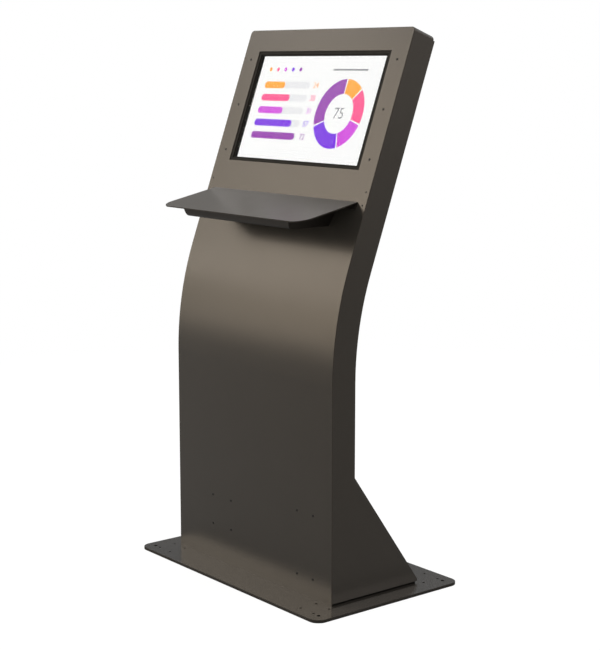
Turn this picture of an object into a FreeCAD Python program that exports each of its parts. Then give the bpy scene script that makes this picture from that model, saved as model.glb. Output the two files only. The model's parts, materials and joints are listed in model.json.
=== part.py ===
import FreeCAD, Part
import math
import os
from FreeCAD import Vector

os.makedirs("parts", exist_ok=True)

# Screen kiosk. Millimetres, +Z up, the display faces -Y, +X is the user's right.
# Origin: centre of the base plate's underside.

# Base plate
BASE_WIDTH = 826.0
BASE_DEPTH = 510.0
BASE_THICK = 8.0
BASE_CORNER_R = 30.0
FRONT_SETBACK = 102.0
ANCHOR_INSET = 33.0
ANCHOR_HOLE_R = 5.5
PAD_SPACING = 53.0
PAD_OFFSET = 21.0
PAD_HOLE_R = 3.5

# Cabinet body
BODY_DEPTH = 78.0
SHEET = 2.0
STRAIGHT_TOP_Z = 598.0
BEND_R = 900.0
LEAN_DEG = 20.0
HEAD_LENGTH = 645.0
TOP_CORNER_R = 12.0
REAR_CORNER_R = 8.0
EDGE_R = 1.2
TOP_LIP = 26.0
COVER_GAP = 0.5

# Foot
FOOT_PLATE_THICK = 6.0
FOOT_RECESS = 4.0
FOOT_FLANGE_THICK = 4.0
FOOT_FLANGE_HEIGHT = 20.0
FOOT_FLANGE_SHORT = 30.0
FOOT_TOP_Z = 344.0
FOOT_REACH = 306.0
FOOT_TOE_Z = 21.0
CABLE_HOLE_R = 26.0
CABLE_HOLE_Y = 205.0
GROMMET_BORE_R = 19.0
GROMMET_LIP = 4.0
GROMMET_LIP_THICK = 2.0

# Inner strips that the rear covers seat on
STRIP_WIDTH = 18.0
STRIP_THICK = 2.0
COVER_SPLIT = 30.0
RAIL_LEG = 24.0
SILL_LEG = 16.0

# Display
HEAD_MARGIN = 65.5
OPENING_MARGIN_X = 21.0
OPENING_MARGIN_Z = 15.25
DISPLAY_CENTRE = 227.5
ACTIVE_WIDTH = 527.0
ACTIVE_HEIGHT = 296.5
BEZEL_LAP = 11.0
BEZEL_SIDE_LEDGE = 10.5
BEZEL_TOP_LEDGE = 9.0
BEZEL_STEP = 3.3
BEZEL_LIP_THICK = 1.0
WINDOW_MARGIN_X = 5.0
WINDOW_MARGIN_Z = 2.8
GLASS_THICK = 1.8
GLASS_LAP = 10.0
GLASS_CLEARANCE = 0.3
LCD_GAP = 0.3
LCD_THICK = 2.1
BACKLIGHT_LAP = 14.0
BACKLIGHT_THICK = 12.0
BACKLIGHT_POST_R = 4.0
BACKLIGHT_POSTS = (215.0, 100.0)
CASE_CLEARANCE = 0.5
CASE_DEPTH = 36.0
CASE_WALL = 1.5
BOARD_SIZE = (180.0, 120.0)
BOARD_THICK = 1.6
BOARD_STANDOFF = 6.0
STANDOFF_R = 3.0
CHIP_SIZE = 36.0
CHIP_THICK = 1.8
PLUG_SIZE = (16.0, 6.4, 12.0)
PLUG_COUNT = 3
PLUG_PITCH = 45.0
CASE_SLOTS = 14
CASE_SLOT_PITCH = 12.0
CASE_SLOT_LENGTH = 60.0
VENT_SLOT_WIDTH = 4.0

# Monitor brackets and their screws
SCREW_FROM_SIDE = 35.0
SCREW_ROWS = (89.0, 225.0, 361.0)
BRACKET_FOOT = 15.0
BRACKET_END = 22.0
BRACKET_LAP = 34.0

# Shelf
SHELF_FROM_SIDE = 35.0
SHELF_DEPTH = 196.0
SHELF_THICK = 3.0
SHELF_CORNER_R = 42.0
SHELF_SLOPE_DEG = 12.0
SHELF_FROM_TOP = 475.5
SHELF_FLANGE = 18.0
BOX_DROP = 67.6
BOX_REACH_LOW = 159.2
BOX_REACH_HIGH = 168.2
BOX_INSET_LOW = 86.0
BOX_INSET_HIGH = 77.0
BOX_SHEET = 1.5
BOX_ROLL_R = 14.0
RAIL_SCREW_FROM_SIDE = 13.5
RAIL_SCREW_ROWS = (448.0, 484.0)
RAIL_MARGIN = 12.0
RAIL_FLANGE = 22.0
SHELF_BOLT_INNER_X = 90.0
SHELF_BOLT_FROM_END = 45.0

# Column screws: computer bracket on the left, power bracket on the right
COMPUTER_X = -139.5
COMPUTER_Z = 154.0
COMPUTER_HOLES = (87.0, 85.0)
POWER_FROM_SIDE = 112.5
POWER_Z = 149.5
POWER_HOLES = (68.0, 176.0)
HAT_FOOT = 9.0
HAT_HEIGHT = 12.0
HAT_END = 16.0
UNIT_SCREW_INSET = 8.0

# Screws
SCREW_R = 2.0
SCREW_HEAD_R = 3.6
SCREW_HEAD_H = 1.0
SCREW_LENGTH = 6.0
SMALL_SCREW_R = 1.5
SMALL_HEAD_R = 2.6
SOCKET_R = 1.5
SOCKET_DEPTH = 0.7
HOLE_CLEARANCE = 0.2
BOLT_R = 4.0
BOLT_HEAD_R = 7.6
BOLT_HEAD_H = 4.0
BOLT_SOCKET_R = 2.5
BASE_BOLT_INNER_X = 60.0
BASE_BOLT_FROM_SIDE = 50.0
BASE_BOLT_EDGE = 22.0

# Computer
PC_WIDTH = 190.0
PC_HEIGHT = 170.0
PC_DEPTH = 42.0
PC_WALL = 1.2
PC_LID_THICK = 1.5
PC_CORNER_R = 6.0
PC_LID_POST_R = 4.0
PC_BOARD_MARGIN = 8.0
PC_BOARD_LIFT = 5.0
HEAT_SINK_SIZE = 64.0
HEAT_SINK_BASE = 3.0
HEAT_SINK_HEIGHT = 12.0
HEAT_SINK_FINS = 11
HEAT_SINK_FIN_THICK = 1.2
PC_FAN_R = 27.0
PC_FAN_HUB_R = 11.0
PC_FAN_THICK = 7.0
PC_FAN_BLADES = 9
PC_FAN_PIN_R = 2.0
PC_FAN_LIFT = 0.6
PC_FAN_X = 24.0
PC_FAN_Z = 20.0
VENT_HOLE_R = 2.0
VENT_RINGS = (0, 8, 14, 20)
VENT_RING_STEP = 7.0
DRIVE_SIZE = (70.0, 100.0)
DRIVE_THICK = 7.0
DRIVE_LIFT = 26.0
DRIVE_X = -48.0
DRIVE_POST_R = 2.5
PORT_COUNT = 5
PORT_PITCH = 26.0
PORT_SIZE = (14.0, 8.0)
PORT_LENGTH = 15.0
PORT_CLEARANCE = 0.5
BUTTON_R = 5.0
BUTTON_PROUD = 1.6
BUTTON_FLANGE = 1.5
BUTTON_CLEARANCE = 0.08
BUTTON_Z = 55.0

# Power
STRIP_BODY = (44.0, 40.0, 230.0)
OUTLET_COUNT = 4
OUTLET_PITCH = 42.0
OUTLET_SIZE = (25.0, 17.0)
OUTLET_DEPTH = 14.0
OUTLET_LOW = 34.0
SWITCH_SIZE = (16.0, 24.0)
SWITCH_FROM_TOP = 26.0
SWITCH_DEPTH = 9.0
SWITCH_BELOW = 3.0
SWITCH_PROUD = 1.0
SWITCH_TILT_DEG = 8.0
SWITCH_CLEARANCE = 0.4
SWITCH_END_CLEARANCE = 1.2
SWITCH_PIN_R = 1.5
SWITCH_RUN = 0.06
SUPPLY_SIZE = (130.0, 60.0, 35.0)
SUPPLY_X = 40.0
SUPPLY_Y = 90.0
SUPPLY_CORNER_R = 5.0
STRAP_WIDTH = 16.0
STRAP_THICK = 1.2
STRAP_FOOT = 14.0
STRAP_SCREW_LENGTH = 5.0

# Exhaust fan
FAN_SIZE = 80.0
FAN_DEPTH = 25.0
FAN_BORE_R = 37.5
FAN_BLADE_R = 36.5
FAN_HUB_R = 16.0
FAN_BLADES = 7
FAN_Z = 480.0
FAN_HOLE_SPACING = 71.5
FAN_ARM = 5.0
FAN_PLATE = 3.0
FAN_PIN_R = 2.5
FAN_RUN = 0.05
FAN_LIFT = 0.5
FAN_SLOTS = 9
FAN_SLOT_PITCH = 8.0
FAN_SLOT_WIDTH = 4.0
BLADE_THICK = 1.4
BLADE_TILT_DEG = 38.0

# Foot door, hinges and lock
DOOR_LOW = 8.0
DOOR_TOP_GAP = 3.0
DOOR_SIDE_GAP = 1.0
DOOR_SEAT_GAP = 0.3
DOOR_RIM = 10.0
DOOR_RIM_INSET = 60.0
DOOR_VENTS = 10
DOOR_VENT_PITCH = 9.0
DOOR_VENT_LENGTH = 150.0
DOOR_VENT_Z = 60.0
HINGE_R = 4.0
HINGE_LIFT = 0.2
HINGE_PIN_R = 2.0
HINGE_RUN = 0.05
HINGE_KNUCKLE = 22.0
HINGE_PLACES = (70.0, 300.0)
HINGE_LEAF = 24.0
HINGE_LEAF_THICK = 1.8
HINGE_PLAY = 0.5
HINGE_SCREW_INSET = 7.0
LOCK_FROM_STRIP = 12.0
LOCK_Z = 190.0
LOCK_FLANGE_R = 11.0
LOCK_FLANGE_H = 1.5
LOCK_BARREL_R = 9.0
LOCK_PLUG_R = 6.0
LOCK_RUN = 0.05
LOCK_NUT_R = 11.0
LOCK_NUT_H = 1.6
KEYWAY = (1.4, 7.0)
KEYWAY_DEPTH = 1.5
CAM_LENGTH = 26.0
CAM_WIDTH = 12.0
CAM_THICK = 2.0

# Head back cover vents
BACK_VENTS = 16
BACK_VENT_PITCH = 10.0
BACK_VENT_LENGTH = 210.0
BACK_VENT_LOW = 60.0
COVER_SCREW_ROWS = (60.0, 215.0, 370.0, 525.0)
PANEL_SCREW_ROWS = (375.0, 480.0, 580.0)

# Worked out from the sizes above
X = Vector(1, 0, 0)
Y = Vector(0, 1, 0)
Z = Vector(0, 0, 1)
ORIGIN = Vector(0, 0, 0)
NEAR = 0.01
OPENING_WIDTH = ACTIVE_WIDTH + 2 * OPENING_MARGIN_X
OPENING_HEIGHT = ACTIVE_HEIGHT + 2 * OPENING_MARGIN_Z
BODY_WIDTH = OPENING_WIDTH + 2 * HEAD_MARGIN
HALF = BODY_WIDTH / 2
SHELF_HALF = HALF - SHELF_FROM_SIDE
BOX_HALF_LOW = SHELF_HALF - BOX_INSET_LOW
BOX_HALF_HIGH = SHELF_HALF - BOX_INSET_HIGH
SHELF_BOLT_X = (SHELF_BOLT_INNER_X, SHELF_HALF - SHELF_BOLT_FROM_END)
POWER_X = HALF - POWER_FROM_SIDE
INNER = HALF - SHEET
Y_FRONT = FRONT_SETBACK - BASE_DEPTH / 2
BODY_LOW_Z = BASE_THICK + FOOT_PLATE_THICK
SCREW_COLUMN_X = HALF - SCREW_FROM_SIDE
RAIL_SCREW_X = HALF - RAIL_SCREW_FROM_SIDE
LEAN = math.radians(LEAN_DEG)
FOOT_RUN = FOOT_REACH - BODY_DEPTH
FOOT_RISE = FOOT_TOP_Z - FOOT_TOE_Z
FOOT_TILT_DEG = math.degrees(math.atan2(FOOT_RUN, FOOT_RISE))
SLOPE_LENGTH = math.hypot(FOOT_RUN, FOOT_RISE)
COVER_IN = BODY_DEPTH - SHEET
STRIP_IN = COVER_IN - STRIP_THICK
DISPLAY_Z = HEAD_LENGTH - DISPLAY_CENTRE
GLASS_FRONT = SHEET + BEZEL_STEP + BEZEL_LIP_THICK
LCD_FRONT = GLASS_FRONT + GLASS_THICK + LCD_GAP
CASE_FRONT = LCD_FRONT + LCD_THICK
CASE_BACK = CASE_FRONT + CASE_DEPTH
CASE_HALF_X = ACTIVE_WIDTH / 2 + BACKLIGHT_LAP + CASE_CLEARANCE + CASE_WALL
CASE_HALF_Z = ACTIVE_HEIGHT / 2 + BACKLIGHT_LAP + CASE_CLEARANCE + CASE_WALL
BOARD_BACK = CASE_BACK - CASE_WALL - BOARD_STANDOFF
BRIDGE_BACK = SHEET + HAT_HEIGHT
PC_BOARD_TOP = PC_WALL + PC_BOARD_LIFT + BOARD_THICK
DOOR_HIGH = SLOPE_LENGTH - DOOR_TOP_GAP
HINGE_X = HALF - HINGE_R
HINGE_RISE = HINGE_R + HINGE_LIFT
LOCK_X = INNER - STRIP_WIDTH - LOCK_FROM_STRIP
STRIP_BEHIND_DOOR = SHEET + DOOR_SEAT_GAP


def save(name, *solids):
    """Write one sub-part's solids as one file."""
    shape = solids[0] if len(solids) == 1 else Part.makeCompound(list(solids))
    if not shape.isValid():
        raise RuntimeError("invalid shape: " + name)
    shape.exportStep("parts/" + name + ".step")


def box(x0, x1, y0, y1, z0, z1):
    return Part.makeBox(x1 - x0, y1 - y0, z1 - z0, Vector(x0, y0, z0))


def cyl(radius, height, at, direction):
    return Part.makeCylinder(radius, height, at, direction)


def joined(shapes):
    result = shapes[0]
    for shape in shapes[1:]:
        result = result.fuse(shape)
    return result.removeSplitter()


def less(shape, cutters):
    for cutter in cutters:
        shape = shape.cut(cutter)
    return shape


def edges_along(shape, direction):
    """Straight edges of a shape that run along one axis."""
    return [e for e in shape.Edges if abs(e.tangentAt(e.FirstParameter).dot(direction)) > 1 - NEAR]


def body_y(shape):
    """Move a shape drawn with Y from the column's front face into the row frame."""
    shape.translate(Vector(0, Y_FRONT, 0))
    return shape


def in_head(shape):
    """Place a shape drawn in head axes: Y from the head's front face, Z up its slant."""
    shape.rotate(ORIGIN, X, -LEAN_DEG)
    end = profile_point(0, 0)
    shape.translate(Vector(0, end.y, end.z))
    return shape


def on_slope(shape):
    """Place a shape drawn in foot door axes: Y outward from the slope, Z up it from the toe."""
    shape.rotate(ORIGIN, X, FOOT_TILT_DEG)
    shape.translate(Vector(0, Y_FRONT + FOOT_REACH, FOOT_TOE_Z))
    return shape


def profile_point(depth, along):
    """Point of the leaning head, this deep behind its front face and this far up its slant."""
    radius = BEND_R - depth
    y = Y_FRONT + BEND_R - radius * math.cos(LEAN) + along * math.sin(LEAN)
    z = STRAIGHT_TOP_Z + radius * math.sin(LEAN) + along * math.cos(LEAN)
    return Vector(0, y, z)


def profile_edges(depth, low_z, along):
    """Side view of the body at one depth: straight rise, arc, then the leaning head."""
    radius = BEND_R - depth
    half_lean = LEAN / 2
    start = Vector(0, Y_FRONT + depth, STRAIGHT_TOP_Z)
    middle = Vector(0, Y_FRONT + BEND_R - radius * math.cos(half_lean),
                    STRAIGHT_TOP_Z + radius * math.sin(half_lean))
    end = profile_point(depth, 0)
    edges = [Part.makeLine(Vector(0, Y_FRONT + depth, low_z), start)]
    edges.append(Part.Arc(start, middle, end).toShape())
    if along > 0:
        edges.append(Part.makeLine(end, profile_point(depth, along)))
    return edges


def bent_sheet(front, back, low_z, along, x0, x1):
    """Sheet between two depths of the body's side view, from x0 to x1."""
    outer = profile_edges(front, low_z, along)
    inner = profile_edges(back, low_z, along)
    top = Part.makeLine(profile_point(front, along), profile_point(back, along))
    bottom = Part.makeLine(Vector(0, Y_FRONT + back, low_z), Vector(0, Y_FRONT + front, low_z))
    wire = Part.Wire(Part.__sortEdges__(outer + [top] + inner + [bottom]))
    sheet = Part.Face(wire).extrude(X * (x1 - x0))
    sheet.translate(X * x0)
    return sheet


def prism(points, x0, x1):
    """Extrude a (y, z) outline from x0 to x1."""
    corners = [Vector(x0, y, z) for y, z in points]
    wire = Part.makePolygon(corners + corners[:1])
    return Part.Face(wire).extrude(X * (x1 - x0))


def slots(count, pitch, length, width, centre_x, low, y0, y1):
    """Level rounded slots, one above the other, cut through from y0 to y1."""
    cutters = []
    reach = length / 2 - width / 2
    for index in range(count):
        z = low + index * pitch
        cutters.append(box(centre_x - reach, centre_x + reach, y0, y1, z - width / 2, z + width / 2))
        for side in (-1, 1):
            cutters.append(cyl(width / 2, y1 - y0, Vector(centre_x + side * reach, y0, z), Y))
    return [joined(cutters[i:i + 3]) for i in range(0, len(cutters), 3)]


def screw(at, direction, length, radius=SCREW_R, head_r=SCREW_HEAD_R, head_h=SCREW_HEAD_H):
    """Low round head on the surface at 'at', shank along 'direction' into it, hex socket."""
    head = Part.makeCone(head_r, head_r - head_h, head_h, at, direction * -1)
    shank = cyl(radius, length, at, direction)
    top = at - direction * head_h
    socket = cyl(min(SOCKET_R, head_r / 2), SOCKET_DEPTH, top, direction)
    return joined([head, shank]).cut(socket)


def display_screw_places():
    return [(side * SCREW_COLUMN_X, HEAD_LENGTH - row) for side in (-1, 1) for row in SCREW_ROWS]


def rail_screw_places():
    return [(side * RAIL_SCREW_X, HEAD_LENGTH - row) for side in (-1, 1) for row in RAIL_SCREW_ROWS]


def shelf_bolt_places():
    z = HEAD_LENGTH - SHELF_FROM_TOP - SHELF_FLANGE / 2 - SHELF_THICK
    return [(side * x, z) for side in (-1, 1) for x in SHELF_BOLT_X]


def column_screw_places():
    places = []
    for x, z, spacing in ((COMPUTER_X, COMPUTER_Z, COMPUTER_HOLES), (POWER_X, POWER_Z, POWER_HOLES)):
        for sx in (-1, 1):
            for sz in (-1, 1):
                places.append((x + sx * spacing[0] / 2, z + sz * spacing[1] / 2))
    return places


def base_bolt_places():
    front = SHEET + BASE_BOLT_EDGE
    back = FOOT_REACH - FOOT_RECESS - BASE_BOLT_EDGE
    across = (BASE_BOLT_INNER_X, HALF - BASE_BOLT_FROM_SIDE)
    return [(side * x, y) for side in (-1, 1) for x in across for y in (front, back)]


def base_plate():
    plate = box(-BASE_WIDTH / 2, BASE_WIDTH / 2, -BASE_DEPTH / 2, BASE_DEPTH / 2, 0, BASE_THICK)
    plate = plate.makeFillet(BASE_CORNER_R, edges_along(plate, Z))
    rim = [e for e in plate.Edges if e.BoundBox.ZMin > BASE_THICK - NEAR]
    plate = plate.makeFillet(EDGE_R, rim)
    cutters = []
    for sx in (-1, 1):
        for sy in (-1, 1):
            ax = BASE_WIDTH / 2 - ANCHOR_INSET
            ay = BASE_DEPTH / 2 - ANCHOR_INSET
            cutters.append(cyl(ANCHOR_HOLE_R, BASE_THICK, Vector(sx * ax, sy * ay, 0), Z))
            for col in (0, 1):
                for row in (0, 1):
                    px = ax - PAD_OFFSET - col * PAD_SPACING
                    py = ay - row * PAD_SPACING
                    cutters.append(cyl(PAD_HOLE_R, BASE_THICK, Vector(sx * px, sy * py, 0), Z))
    cutters.append(cyl(CABLE_HOLE_R, BASE_THICK, Vector(0, Y_FRONT + CABLE_HOLE_Y, 0), Z))
    for x, y in base_bolt_places():
        at = Vector(x, Y_FRONT + y, 0)
        hole_r = BOLT_R + HOLE_CLEARANCE
        cutters.append(cyl(hole_r, BASE_THICK, at, Z))
        cutters.append(Part.makeCone(BOLT_HEAD_R + HOLE_CLEARANCE, hole_r, BOLT_HEAD_H, at, Z))
    return less(plate, cutters)


def base_bolts():
    bolts = []
    for x, y in base_bolt_places():
        at = Vector(x, Y_FRONT + y, HOLE_CLEARANCE)
        head = Part.makeCone(BOLT_HEAD_R, BOLT_R, BOLT_HEAD_H, at, Z)
        shank = cyl(BOLT_R, BODY_LOW_Z - 2 * HOLE_CLEARANCE, at, Z)
        socket = cyl(BOLT_SOCKET_R, BOLT_HEAD_H / 2, at, Z)
        bolts.append(joined([head, shank]).cut(socket))
    return bolts


def foot_plate():
    """Cabinet floor, set in under the sides, with a flange up the inside of each side panel."""
    reach = HALF - FOOT_RECESS
    parts = [box(-reach, reach, SHEET, FOOT_REACH - FOOT_RECESS, BASE_THICK, BODY_LOW_Z)]
    for side in (-1, 1):
        x0, x1 = sorted((side * (INNER - FOOT_FLANGE_THICK), side * INNER))
        parts.append(box(x0, x1, SHEET, FOOT_REACH - FOOT_FLANGE_SHORT, BODY_LOW_Z,
                         BODY_LOW_Z + FOOT_FLANGE_HEIGHT))
    plate = joined(parts)
    cutters = [cyl(CABLE_HOLE_R, FOOT_PLATE_THICK, Vector(0, CABLE_HOLE_Y, BASE_THICK), Z)]
    for x, y in strap_screw_places():
        cutters.append(cyl(SCREW_R, FOOT_PLATE_THICK, Vector(x, y, BASE_THICK), Z))
    for x, y in base_bolt_places():
        cutters.append(cyl(BOLT_R + HOLE_CLEARANCE, FOOT_PLATE_THICK, Vector(x, y, BASE_THICK), Z))
    return body_y(less(plate, cutters))


def cable_grommet():
    lip_r = CABLE_HOLE_R + GROMMET_LIP
    at = Vector(0, CABLE_HOLE_Y, BASE_THICK / 2)
    ring = cyl(CABLE_HOLE_R, BODY_LOW_Z - BASE_THICK / 2, at, Z)
    lip = cyl(lip_r, GROMMET_LIP_THICK, Vector(0, CABLE_HOLE_Y, BODY_LOW_Z), Z)
    bore = cyl(GROMMET_BORE_R, BODY_LOW_Z + GROMMET_LIP_THICK, Vector(0, CABLE_HOLE_Y, 0), Z)
    grommet = joined([ring, lip]).cut(bore)
    return body_y(grommet)


def front_panel():
    panel = bent_sheet(0, SHEET, BASE_THICK, HEAD_LENGTH, -HALF, HALF)
    corner_cuts = []
    for side in (-1, 1):
        x = side * (HALF - TOP_CORNER_R)
        z = HEAD_LENGTH - TOP_CORNER_R
        block = box(min(x, side * HALF), max(x, side * HALF), 0, SHEET, z, HEAD_LENGTH)
        corner_cuts.append(in_head(block.cut(cyl(TOP_CORNER_R, SHEET, Vector(x, 0, z), Y))))
    panel = less(panel, corner_cuts)
    panel = panel.makeFillet(EDGE_R, outer_rim(panel))
    window_x = OPENING_WIDTH / 2
    window_z = OPENING_HEIGHT / 2
    cutters = [box(-window_x, window_x, -SHEET, 2 * SHEET, DISPLAY_Z - window_z, DISPLAY_Z + window_z)]
    for x, z in display_screw_places() + shelf_bolt_places():
        cutters.append(cyl(SCREW_R + HOLE_CLEARANCE, 3 * SHEET, Vector(x, -SHEET, z), Y))
    for x, z in rail_screw_places():
        cutters.append(cyl(SMALL_SCREW_R + HOLE_CLEARANCE, 3 * SHEET, Vector(x, -SHEET, z), Y))
    panel = less(panel, [in_head(c) for c in cutters])
    holes = [cyl(SCREW_R + HOLE_CLEARANCE, 3 * SHEET, Vector(x, -SHEET, z), Y)
             for x, z in column_screw_places()]
    return less(panel, [body_y(h) for h in holes])


def outer_rim(panel):
    """Edges round the outline of the panel's front surface, apart from its bottom edge."""
    rim = []
    for edge in panel.Edges:
        middle = edge.valueAt((edge.FirstParameter + edge.LastParameter) / 2)
        local = head_depth(middle)
        on_side = abs(abs(middle.x) - HALF) < TOP_CORNER_R and middle.z > BASE_THICK + SHEET
        on_top = local[1] > HEAD_LENGTH - TOP_CORNER_R
        if local[0] < SHEET / 4 and (on_side or on_top):
            rim.append(edge)
    return rim


def head_depth(point):
    """Depth of a point behind the body's front surface, and its distance up the head's slant."""
    if point.z < STRAIGHT_TOP_Z:
        return point.y - Y_FRONT, point.z - STRAIGHT_TOP_Z
    centre = Vector(0, Y_FRONT + BEND_R, STRAIGHT_TOP_Z)
    offset = Vector(0, point.y, point.z) - centre
    up = Vector(0, math.sin(LEAN), math.cos(LEAN))
    along = offset.dot(up)
    if along <= 0:
        return BEND_R - offset.Length, along
    inward = Vector(0, math.cos(LEAN), -math.sin(LEAN))
    return BEND_R + offset.dot(inward), along


def side_panel(side):
    """Flat side plate: straight rise, arc and lean, with the wedge foot behind."""
    top = HEAD_LENGTH - TOP_CORNER_R
    front = profile_edges(SHEET, BODY_LOW_Z, top)
    back = profile_edges(BODY_DEPTH, FOOT_TOP_Z, top)
    joins = [Part.makeLine(profile_point(SHEET, top), profile_point(BODY_DEPTH, top))]
    foot = [(BODY_DEPTH, FOOT_TOP_Z), (FOOT_REACH, FOOT_TOE_Z), (FOOT_REACH, BODY_LOW_Z), (SHEET, BODY_LOW_Z)]
    points = [Vector(0, Y_FRONT + y, z) for y, z in foot]
    joins += [Part.makeLine(a, b) for a, b in zip(points[:-1], points[1:])]
    wire = Part.Wire(Part.__sortEdges__(front + back + joins))
    plate = Part.Face(wire).extrude(X * SHEET)
    plate.translate(X * (INNER if side > 0 else -HALF))
    return plate


def cap_block(half_x, back, high, side_r, rear_r):
    """Block with rounded top corners and a rounded rear top edge."""
    low = HEAD_LENGTH - TOP_LIP
    block = box(-half_x, half_x, SHEET, back, low, high)
    sides = [e for e in block.Edges if e.BoundBox.ZMin > high - NEAR and e.BoundBox.XLength < NEAR]
    block = block.makeFillet(side_r, sides)
    rear = [e for e in block.Edges if e.BoundBox.YMin > back - NEAR and e.BoundBox.ZMin > low + NEAR]
    return block.makeFillet(rear_r, rear)


def top_cap():
    cap = cap_block(HALF, BODY_DEPTH, HEAD_LENGTH, TOP_CORNER_R, REAR_CORNER_R)
    hollow = cap_block(INNER, COVER_IN, HEAD_LENGTH - SHEET, TOP_CORNER_R - SHEET, REAR_CORNER_R - SHEET)
    cap = cap.cut(hollow)
    low, high = HEAD_LENGTH - TOP_LIP, HEAD_LENGTH - TOP_CORNER_R
    for side in (-1, 1):
        x0, x1 = sorted((side * INNER, side * HALF))
        cap = cap.cut(box(x0, x1, SHEET, BODY_DEPTH, low, high))
    return in_head(cap)


def rear_strip(side):
    x0, x1 = sorted((side * (INNER - STRIP_WIDTH), side * INNER))
    return bent_sheet(STRIP_IN, COVER_IN, FOOT_TOP_Z + RAIL_LEG, HEAD_LENGTH - TOP_LIP, x0, x1)


def foot_strip(side):
    x0, x1 = sorted((side * (INNER - STRIP_WIDTH), side * INNER))
    strip = box(x0, x1, -STRIP_BEHIND_DOOR - STRIP_THICK, -STRIP_BEHIND_DOOR,
                SILL_LEG, SLOPE_LENGTH - RAIL_LEG)
    return on_slope(strip)


def rear_sill():
    """Angle that closes the toe below the foot door and carries its lower edge."""
    run = math.sin(math.radians(FOOT_TILT_DEG))
    rise = math.cos(math.radians(FOOT_TILT_DEG))
    toe = (FOOT_REACH, FOOT_TOE_Z)
    outline = [(FOOT_REACH, BODY_LOW_Z), toe]
    outline.append((toe[0] - DOOR_LOW * run, toe[1] + DOOR_LOW * rise))
    depth = STRIP_BEHIND_DOOR + STRIP_THICK
    outline.append((outline[-1][0] - depth * rise, outline[-1][1] - depth * run))
    outline.append((FOOT_REACH - FOOT_RECESS, FOOT_TOE_Z - SHEET))
    outline.append((FOOT_REACH - FOOT_RECESS, BODY_LOW_Z))
    return body_y(prism(outline, -INNER, INNER))


def wedge_rail():
    """Folded rail across the cabinet behind the joint of the middle panel and the foot door."""
    run = math.sin(math.radians(FOOT_TILT_DEG))
    rise = math.cos(math.radians(FOOT_TILT_DEG))
    seat = STRIP_BEHIND_DOOR
    outer_y = COVER_IN
    corner = (BODY_DEPTH - SHEET, FOOT_TOP_Z + (SHEET - seat / rise) * rise / run)
    leg = (corner[0] + RAIL_LEG * run, corner[1] - RAIL_LEG * rise)
    outline = [(outer_y, FOOT_TOP_Z + RAIL_LEG), corner, leg]
    outline.append((leg[0] - SHEET * rise, leg[1] - SHEET * run))
    outline.append((outer_y - SHEET, corner[1] - SHEET * run))
    outline.append((outer_y - SHEET, FOOT_TOP_Z + RAIL_LEG))
    return body_y(prism(outline, -INNER, INNER))


def rear_middle_panel():
    x = INNER - COVER_GAP
    panel = bent_sheet(COVER_IN, BODY_DEPTH, FOOT_TOP_Z + COVER_GAP, COVER_SPLIT, -x, x)
    low = FAN_Z - (FAN_SLOTS - 1) / 2 * FAN_SLOT_PITCH
    cutters = []
    for index in range(FAN_SLOTS):
        z = low + index * FAN_SLOT_PITCH
        chord = 2 * math.sqrt(FAN_BORE_R ** 2 - (z - FAN_Z) ** 2)
        cutters += slots(1, 0, chord, FAN_SLOT_WIDTH, 0, z, COVER_IN, BODY_DEPTH)
    for x, z in panel_screw_places():
        cutters.append(cyl(SCREW_R + HOLE_CLEARANCE, SHEET, Vector(x, COVER_IN, z), Y))
    for x, z in fan_screw_places():
        cutters.append(cyl(SCREW_R + HOLE_CLEARANCE, SHEET, Vector(x, COVER_IN, z), Y))
    return less(panel, [body_y(c) for c in cutters])


def panel_screw_places():
    x = INNER - STRIP_WIDTH / 2
    return [(side * x, z) for side in (-1, 1) for z in PANEL_SCREW_ROWS]


def cover_screw_places():
    x = INNER - STRIP_WIDTH / 2
    return [(side * x, z) for side in (-1, 1) for z in COVER_SCREW_ROWS]


def fan_screw_places():
    reach = FAN_HOLE_SPACING / 2
    return [(sx * reach, FAN_Z + sz * reach) for sx in (-1, 1) for sz in (-1, 1)]


def head_back_cover():
    x = INNER - COVER_GAP
    low = COVER_SPLIT + 2 * COVER_GAP
    high = HEAD_LENGTH - TOP_LIP - 2 * COVER_GAP
    cover = box(-x, x, COVER_IN, BODY_DEPTH, low, high)
    cutters = []
    for side in (-1, 1):
        centre = side * BACK_VENT_LENGTH * 0.6
        cutters += slots(BACK_VENTS, BACK_VENT_PITCH, BACK_VENT_LENGTH, VENT_SLOT_WIDTH, centre,
                         low + BACK_VENT_LOW, COVER_IN, BODY_DEPTH)
        cutters += slots(BACK_VENTS, BACK_VENT_PITCH, BACK_VENT_LENGTH, VENT_SLOT_WIDTH, centre,
                         high - BACK_VENT_LOW - (BACK_VENTS - 1) * BACK_VENT_PITCH, COVER_IN, BODY_DEPTH)
    for x, z in cover_screw_places():
        cutters.append(cyl(SCREW_R + HOLE_CLEARANCE, SHEET, Vector(x, COVER_IN, z), Y))
    return in_head(less(cover, cutters))


def rear_cover_screws():
    head = [in_head(screw(Vector(x, BODY_DEPTH, z), Y * -1, SHEET)) for x, z in cover_screw_places()]
    panel = [body_y(screw(Vector(x, BODY_DEPTH, z), Y * -1, SHEET)) for x, z in panel_screw_places()]
    return head + panel


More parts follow.
